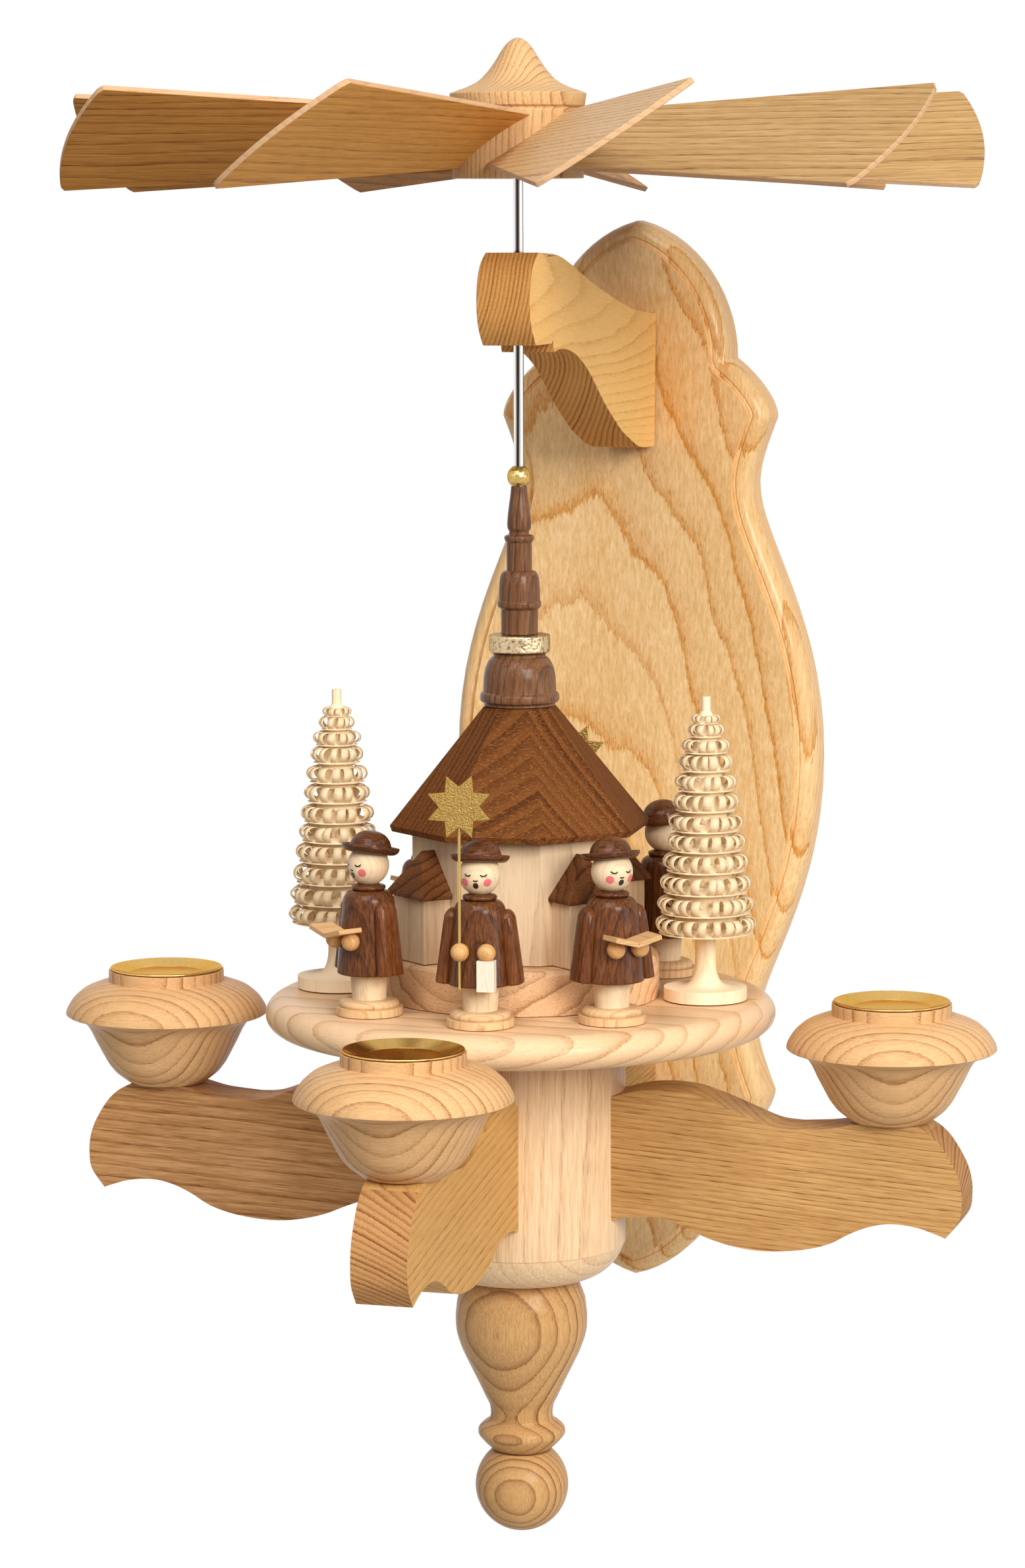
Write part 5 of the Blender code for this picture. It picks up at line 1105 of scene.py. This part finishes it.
def make_roofs():
    """The big roof as eight boards sharing one grain, and the four hipped porch roofs."""
    _, _, low, high = box_of("church_roof")
    step_turn = math.tau / CHURCH_SIDES
    widest = max(math.cos(REST_TURN + (index + 0.5) * step_turn) for index in range(CHURCH_SIDES))
    eave, top = (high.x - SHAFT.x) / widest, ROOF_TOP_CORNER
    ridge = Matrix.Rotation(REST_TURN - 1.5 * step_turn + ROOF_GRAIN_TURN, 3, "Z") @ RIGHT
    for index in range(CHURCH_SIDES):
        form = bmesh.new()
        corners = []
        for side in (0, 1):
            angle = (index + side) * step_turn
            across = Vector((math.cos(angle), math.sin(angle), 0))
            corners += [across * top + UP * high.z, across * eave + UP * (low.z + EAVE),
                        across * (eave - EAVE_LEAN) + UP * low.z]
        corners += [UP * high.z, UP * low.z]
        for corner in corners:
            form.verts.new(corner)
        bmesh.ops.convex_hull(form, input=form.verts)
        made = new_object("roof_%d_fine" % (index + 1), form, octagon_place())
        stamp(made, ridge.cross(UP), ridge + UP * 0.33, pith=240, seed=81, centre=SHAFT + UP * low.z)
        dress(made, "roof_walnut", TURNING, "church_roof", edge=0.0002, angle=12.0)
    flat = WALL_CORNER * math.cos(math.pi / CHURCH_SIDES)
    for index in range(4):
        node = "porch_roof_%d" % (index + 1)
        _, _, low, high = box_of(node)
        half = PORCH_WIDTH / 2 + PORCH_OVERHANG
        front = PORCH_REACH + PORCH_OVERHANG
        form = bmesh.new()
        for z in (low.z, low.z + PORCH_EDGE):
            for x, y in ((flat, -half), (front, -half), (front, half), (flat, half)):
                form.verts.new((x, y, z))
        form.verts.new((flat, 0, high.z))
        form.verts.new((front - PORCH_HIP, 0, high.z))
        bmesh.ops.convex_hull(form, input=form.verts)
        turn = spin(REST_TURN + (index + 0.5) * math.pi / 2, "Z")
        made = new_object(node + "_fine", form, move(SHAFT) @ turn)
        stamp(made, turn.to_3x3() @ Vector((0.3, 1, 0)), turn.to_3x3() @ Vector((0.6, 0, 1)), pith=30,
              tilt=6, seed=91 + index)
        dress(made, "porch_walnut", TURNING, node, edge=0.0003, angle=12.0)


# Ring trees

TIER_SHARES = (
    (0.29, 0.928, 10), (0.37, 0.892, 11), (0.48, 0.841, 12), (0.545, 0.787, 13), (0.62, 0.722, 14),
    (0.67, 0.658, 15), (0.74, 0.59, 16), (0.79, 0.526, 17), (0.855, 0.46, 19), (0.91, 0.389, 20),
    (0.96, 0.319, 21), (1, 0.252, 22),
)
CURL_STEPS = 15
CURL_START = -math.radians(112)
CURL_SWEEP = math.radians(318)
CURL_SHRINK, CURL_TAPER = 0.18, 0.25     # what a curl loses in size and in width toward its end
CURL_HEIGHT_SHARE = 0.38          # of the pitch between tiers
CURL_REACH_SHARE = 0.46
RIBBON_THICKNESS = 0.00022
STICK, STICK_FREE = 0.0019, 0.0030      # radius, and how far it stands out above the curls
TRUNK = 0.0041
TREE_BASE, TREE_BASE_HEIGHT, TREE_BASE_ROUND = 0.0165, 0.0052, 0.0006
TREE_FLARE_SHARES = ((1.00, 0.62), (1.00, 0.50), (1.06, 0.34), (1.30, 0.17), (1.75, 0.05), (2.60, 0.00))


def curl(form, spot, radial, side, size, width, skew, open_end):
    """One shaving: a ribbon that leaves the core low down, curls outward and up, and back in."""
    rows = []
    for step in range(CURL_STEPS + 1):
        t = step / CURL_STEPS
        angle = CURL_START + CURL_SWEEP * open_end * t
        shrink = 1 - CURL_SHRINK * t * t
        centre = spot + side * skew * t
        bulge = radial * (math.cos(angle) * size[0] * shrink) + UP * (math.sin(angle) * size[1] * shrink)
        half = side * width / 2 * (1 - CURL_TAPER * t)
        rows.append((form.verts.new(centre + bulge - half), form.verts.new(centre + bulge + half)))
    for (a, b), (c, d) in zip(rows, rows[1:]):
        form.faces.new((a, b, d, c))


def make_tree(node, seed):
    lot = random.Random(seed)
    middle, half, low, high = box_of(node)
    height = high.z - low.z
    widest = half.x
    tiers = [(r * widest, low.z + z * height, count) for r, z, count in TIER_SHARES]
    curls = bmesh.new()
    collar = (STICK, tiers[0][1] + STICK_FREE)
    core = [(0, high.z), (STICK, high.z), (STICK, high.z), collar, collar]
    for index, (radius, level, count) in enumerate(tiers):
        below = tiers[index + 1][1] if index + 1 < len(tiers) else level - (tiers[index - 1][1] - level)
        pitch = level - below
        size = (pitch * CURL_REACH_SHARE, pitch * CURL_HEIGHT_SHARE)
        out = radius - size[0]
        for number in range(count):
            angle = math.tau * (number + lot.uniform(-0.22, 0.22)) / count
            radial = Vector((math.cos(angle), math.sin(angle), 0))
            side = Vector((-math.sin(angle), math.cos(angle), 0))
            spot = Vector((middle.x, middle.y, level)) + radial * out
            gap = math.tau * radius / count
            bulge = (size[0] * lot.uniform(0.92, 1.0), size[1] * lot.uniform(0.93, 1.0))
            curl(curls, spot, radial, side, bulge,
                 gap * lot.uniform(0.50, 0.70), gap * lot.uniform(0.05, 0.40), lot.uniform(0.86, 1.08))
        # The core between two rows of curls: shares of its radius, and of the pitch
        neck, waist = max(STICK, out * 0.76), max(STICK, out * 0.80)
        brim = (out + size[0] * 0.62, level - pitch * 0.44)
        foot = (waist, below + pitch * 0.42)
        core += [(neck, level + pitch * 0.28), (waist, level - pitch * 0.16), brim, brim, foot, foot]
    trunk_top = core[-1][1]
    base_top = low.z + TREE_BASE_HEIGHT
    core[-1] = core[-2] = (TRUNK, trunk_top)
    flare = [(r * TRUNK, base_top + z * (trunk_top - base_top)) for r, z in TREE_FLARE_SHARES]
    heel = (TREE_BASE, low.z + 0.0003)
    core += flare + [flare[-1], (TREE_BASE - TREE_BASE_ROUND, base_top),
                     (TREE_BASE, base_top - TREE_BASE_ROUND), heel, heel, (0, low.z)]
    made = turned(node + "_core", smooth_run(core, 3), move((middle.x, middle.y, 0)), 48)
    stamp(made, UP, TO_VIEWER, pith=30, seed=seed)
    dress(made, "trunk_lime", TURNING, node)
    made = new_object(node + "_curls", curls)
    stamp(made, UP, TO_VIEWER, pith=40, seed=seed + 1)
    thick = made.modifiers.new("ribbon", "SOLIDIFY")
    thick.thickness = RIBBON_THICKNESS
    thick.offset = 0
    dress(made, "curl_lime", TURNING, node)


# Singers

COAT_SHARES = (
    (0, 0), (0.3, 0), (0.42, 0.01), (0.5, 0.02), (0.53, 0.04), (0.505, 0.062), (0.44, 0.072), (0.44, 0.072),
    (0.56, 0.076), (0.68, 0.1), (0.76, 0.145), (0.795, 0.19), (0.83, 0.3), (0.87, 0.43), (0.92, 0.64),
    (0.97, 0.86), (0.99, 0.96), (0.99, 0.99), (0.95, 1), (0.95, 1), (0, 1),
)
COAT_TOP, COAT_HEM, COAT_RADIUS = 0.0514, 0.0162, 0.0126
LEG_MM = ((0.0, 17.0), (7.2, 17.0), (7.15, 13.0), (6.75, 7.5), (6.7, 6.0), (6.7, 6.0), (0.0, 6.0))
BASE_MM = (
    (0, 6), (9, 6), (10.6, 5.7), (11.6, 4.8), (11.7, 3.7), (11.3, 3.1), (11.3, 3.1), (12.9, 3.05),
    (13.1, 2.8), (13.1, 0.3), (12.9, 0), (12.9, 0), (0, 0),
)
HAT_MM = (
    (0, 13.4), (2.5, 13.2), (5, 12.2), (7, 10.3), (8.1, 7.9), (8.4, 6.3), (8.4, 6.3), (9.3, 6.3),
    (10.4, 7.2), (11.1, 7.6), (11.4, 7.1), (11, 5.9), (9.8, 4.9), (8.4, 4.6), (7.3, 4.6), (7.3, 4.6),
    (0, 4.9),
)
HEAD_RADIUS, HEAD_HEIGHT = 0.0081, 0.0586
HAT_TILT = math.radians(-9)
DOLL_SIDES = 64
# Face: places and widths in degrees from its middle, thickness of the paint in metres
EYE_STROKES = (
    (((13, 6.5), (19, 2.5), (26, 3), (33, 8)), 2.1),
    (((26, 3), (31, -1.5)), 1.2),
    (((19, 2.5), (17.5, -2)), 1.0),
)
NOSE, NOSE_WIDTH = [(-6, -8), (-3, -11.5), (0, -10), (3, -11.5), (6, -8)], 1.8
MOUTH = (-25, (8.5, 9.5))
CHEEK_OFF, CHEEK = 35, (-16, (12, 11.5))
PAINT, MOUTH_OVER = 0.00005, 0.00002
SPOT_SIDES, SPOT_RINGS = 24, 4
SLEEVE_MM = (29.0, 6.2, 9.0, 11.4)      # length, thickness, width at the top and at the hem
SLEEVE_OFF, SLEEVE_TILT = 0.0122, math.radians(7.5)
SLEEVE_LEVELS = (0.0, 0.02, 0.25, 0.5, 0.75, 0.88, 0.94, 0.98, 1.0)     # shares of its length
SLEEVE_SIDES, SLEEVE_POWER = 28, 0.72      # the power makes the oval squarer
HANDS = ((-1, "left"), (1, "right"))
HAND_RADIUS, HAND_HEIGHT, HAND_SPREAD, HAND_FORWARD = 0.0036, 0.0302, 0.0052, 0.0126
BOOK_MM = (10.5, 10.8, 1.9)
BOOK_FOLD, BOOK_LEAD, BOOK_SINK = math.radians(14), 0.0034, 0.0007
BOX_MM = (6.8, 5.0, 12.0)
REACH, SPREAD = 0.0750, math.radians(40)


def in_mm(points):
    return [(a * MM, b * MM) for a, b in points]


def ball(name, radius, place, sides=40):
    form = bmesh.new()
    bmesh.ops.create_uvsphere(form, u_segments=sides, v_segments=sides // 2, radius=radius)
    return new_object(name, form, place)


def on_head(across, up, radius):
    """The place so many degrees across and up from the middle of the face."""
    a, u = math.radians(across), math.radians(up)
    return Vector((math.sin(a) * math.cos(u), -math.cos(a) * math.cos(u), math.sin(u))) * radius


def face_line(form, points, width, radius):
    """A painted line on the head, through points in degrees."""
    line = smooth_run(points, 4)
    rows = []
    for index, (across, up) in enumerate(line):
        before, after = line[max(index - 1, 0)], line[min(index + 1, len(line) - 1)]
        run = Vector((after[0] - before[0], after[1] - before[1])).normalized()
        end = min(index, len(line) - 1 - index) / 2
        wide = width * min(1.0, 0.35 + end)
        rows.append([form.verts.new(on_head(across - run.y * s * wide, up + run.x * s * wide, radius))
                     for s in (1, 0, -1)])
    for first, second in zip(rows, rows[1:]):
        for i in (0, 1):
            form.faces.new((first[i], first[i + 1], second[i + 1], second[i]))


def face_spot(form, across, up, radii, radius):
    """A painted oval on the head."""
    inner = [form.verts.new(on_head(across, up, radius))] * SPOT_SIDES
    for ring in range(1, SPOT_RINGS + 1):
        share = ring / SPOT_RINGS
        line = []
        for step in range(SPOT_SIDES):
            angle = math.tau * step / SPOT_SIDES
            line.append(form.verts.new(on_head(across + radii[0] * share * math.cos(angle),
                                               up + radii[1] * share * math.sin(angle), radius)))
        for step in range(SPOT_SIDES):
            after = (step + 1) % SPOT_SIDES
            form.faces.new(list(dict.fromkeys((inner[step], inner[after], line[after], line[step]))))
        inner = line


def make_face(name, place, node):
    """Closed eyes, a nose, an open singing mouth and pink cheeks."""
    over = HEAD_RADIUS + PAINT
    ink = bmesh.new()
    for side in (-1, 1):
        for points, width in EYE_STROKES:
            face_line(ink, [(side * across, up) for across, up in points], width, over)
    face_line(ink, NOSE, NOSE_WIDTH, over)
    face_spot(ink, 0, *MOUTH, over + MOUTH_OVER)
    made = new_object(name + "_ink", ink, place)
    dress(made, "face_ink", TURNING, node)
    pink = bmesh.new()
    for side in (-1, 1):
        face_spot(pink, side * CHEEK_OFF, *CHEEK, over)
    made = new_object(name + "_cheeks", pink, place)
    dress(made, "face_pink", TURNING, node)


def make_sleeve(name, place, side, node, seed):
    """A tapered half-round slip with a rounded shoulder."""
    length, thick, top_width, hem_width = (v * MM for v in SLEEVE_MM)
    form = bmesh.new()
    rows = []
    for level in SLEEVE_LEVELS:
        width = hem_width + (top_width - hem_width) * level
        close = 1.0 if level < 0.85 else math.sqrt(max(0.02, 1 - ((level - 0.85) / 0.16) ** 2))
        if level == 0.0:
            close = 0.94
        ring = []
        for step in range(SLEEVE_SIDES):
            angle = math.tau * step / SLEEVE_SIDES
            x = math.copysign(abs(math.cos(angle)) ** SLEEVE_POWER, math.cos(angle)) * thick / 2
            y = math.copysign(abs(math.sin(angle)) ** SLEEVE_POWER, math.sin(angle)) * width / 2
            ring.append(form.verts.new((x * close, y * close, (level - 0.5) * length)))
        rows.append(ring)
    for lower, upper in zip(rows, rows[1:]):
        for step in range(SLEEVE_SIDES):
            after = (step + 1) % SLEEVE_SIDES
            form.faces.new((lower[step], lower[after], upper[after], upper[step]))
    form.faces.new(rows[0])
    form.faces.new(rows[-1])
    hung = move((side * SLEEVE_OFF, 0, COAT_HEM + length / 2 + SEAT_GAP))
    made = new_object(name, form, place @ hung @ spin(-side * SLEEVE_TILT, "Y"))
    stamp(made, UP, place.to_3x3() @ OUT, pith=20, tilt=2, seed=seed)
    dress(made, "sleeve_stain", TURNING, node, edge=0.0003)


def make_singer(number, place, bearer):
    label = "singer_%d" % number
    facing = place.to_3x3() @ OUT
    seed = 200 + number * 10
    coat_profile = scaled(COAT_SHARES, COAT_RADIUS, COAT_TOP, COAT_TOP - COAT_HEM, 4)
    parts = (("coat", coat_profile, "coat_stain"), ("legs", smooth_run(in_mm(LEG_MM), 4), "doll_head"),
             ("stand", smooth_run(in_mm(BASE_MM), 4), "doll_base"))
    for index, (part, profile, finish) in enumerate(parts):
        made = turned("%s_%s" % (label, part), profile, place, DOLL_SIDES)
        stamp(made, UP, facing + RIGHT * 0.3, pith=22, tilt=4, seed=seed + index)
        dress(made, finish, TURNING, label, edge=0.0002)
    for side, hand in HANDS:
        make_sleeve("%s_sleeve_%s" % (label, hand), place, side, label, seed + 5 + side)
    head_place = place @ move((0, 0, HEAD_HEIGHT))
    made = ball(label + "_head", HEAD_RADIUS, head_place)
    stamp(made, UP, facing, pith=24, tilt=3, seed=seed + 3)
    dress(made, "doll_head", TURNING, label)
    make_face(label, head_place, label)
    hat_place = head_place @ spin(HAT_TILT, "X")
    made = turned(label + "_hat_fine", smooth_run(in_mm(HAT_MM), 4), hat_place, DOLL_SIDES)
    stamp(made, RIGHT, UP, pith=24, tilt=4, seed=seed + 4)
    dress(made, "coat_stain", TURNING, label + "_hat", edge=0.0002)
    for side, hand in HANDS:
        spot = move((side * HAND_SPREAD, -HAND_FORWARD, HAND_HEIGHT))
        made = ball("%s_hand_%s" % (label, hand), HAND_RADIUS, place @ spot, 28)
        stamp(made, UP, facing, pith=14, seed=seed + 6 + side)
        dress(made, "doll_hand", TURNING, label)
    if bearer:
        make_star(label, place)
        size = [v * MM for v in BOX_MM]
        form = bmesh.new()
        hang = HAND_HEIGHT - HAND_RADIUS + 0.0008 - size[2] / 2
        block(form, size, move((HAND_SPREAD, -HAND_FORWARD, hang)))
        made = new_object(label + "_lantern", form, place)
        stamp(made, UP, facing, pith=20, seed=seed + 8)
        dress(made, "lantern_lime", TURNING, label, edge=0.0002)
    else:
        make_book(label, place, facing, seed)


def make_book(label, place, facing, seed):
    width, depth, thick = (v * MM for v in BOOK_MM)
    across, up = math.cos(BOOK_FOLD), math.sin(BOOK_FOLD)
    fold = HAND_HEIGHT + HAND_RADIUS - BOOK_SINK - HAND_SPREAD * up / across
    for side, hand in HANDS:
        form = bmesh.new()
        spot = (side * (width * across - thick * up) / 2, -HAND_FORWARD - BOOK_LEAD,
                fold + (width * up + thick * across) / 2)
        block(form, (width, depth, thick), move(spot) @ spin(-side * BOOK_FOLD, "Y"))
        made = new_object("%s_leaf_%s" % (label, hand), form, place)
        stamp(made, facing, UP, pith=20, seed=seed + 8 + side)
        dress(made, "book_maple", TURNING, label, edge=0.0002)


STAR_POINTS = 8
STAR_RADIUS, STAR_NOTCH, STAR_THICKNESS, STAR_HEIGHT = 0.0128, 0.0077, 0.0024, 0.0862
STAR_TURN = math.radians(12)
POLE_RADIUS, POLE_BOTTOM = 0.00058, 0.0158


def make_star(label, place):
    node = label + "_star"
    pole_place = place @ move((-HAND_SPREAD, -HAND_FORWARD, 0))
    profile = [(0, STAR_HEIGHT), (POLE_RADIUS, STAR_HEIGHT), (POLE_RADIUS, POLE_BOTTOM), (0, POLE_BOTTOM)]
    made = turned(label + "_pole", profile, pole_place, 20)
    dress(made, "rod_brass", TURNING, node, edge=0.0001)
    outline = []
    for step in range(2 * STAR_POINTS):
        angle = step * math.pi / STAR_POINTS - math.pi / 2
        reach = STAR_RADIUS if step % 2 else STAR_NOTCH
        outline.append((reach * math.cos(angle), reach * math.sin(angle)))
    star_place = pole_place @ move((0, 0, STAR_HEIGHT)) @ spin(STAR_TURN, "Z")
    made = sawn(label + "_star_fine", outline, STAR_THICKNESS, star_place)
    dress(made, "star_gilt", TURNING, node, edge=0.0002)
    two_faced(made, "star_edge_gilt", star_place.to_3x3() @ OUT)


def make_singers():
    deck = box_of("turntable_plate")[3].z + SEAT_GAP
    for number in range(6):
        group, spot = divmod(number, 3)
        turn = REST_TURN + (spot - 1) * SPREAD + group * math.pi
        place = about_shaft(turn) @ move((0, -REACH, deck))
        make_singer(number + 1, place, spot == 1)


def finish_hidden():
    """The hidden fittings keep their own solids and get their metal."""
    metals = {"shaft_bush": "brass", "foot_bearing": "brass", **dict.fromkeys(BACK_SCREWS, "steel")}
    for node, finish in metals.items():
        for place in frame["nodes"][node].material_slots:
            place.material = FINISHES[finish]


def build():
    make_camera()
    make_light()
    make_floor()
    make_materials()
    make_board()
    make_upper_arm()
    make_candle_arms()
    make_fixed_turnings()
    make_rotor()
    make_church()
    make_tree("ring_tree_right", 101)
    make_tree("ring_tree_left", 151)
    make_singers()
    finish_hidden()


build()
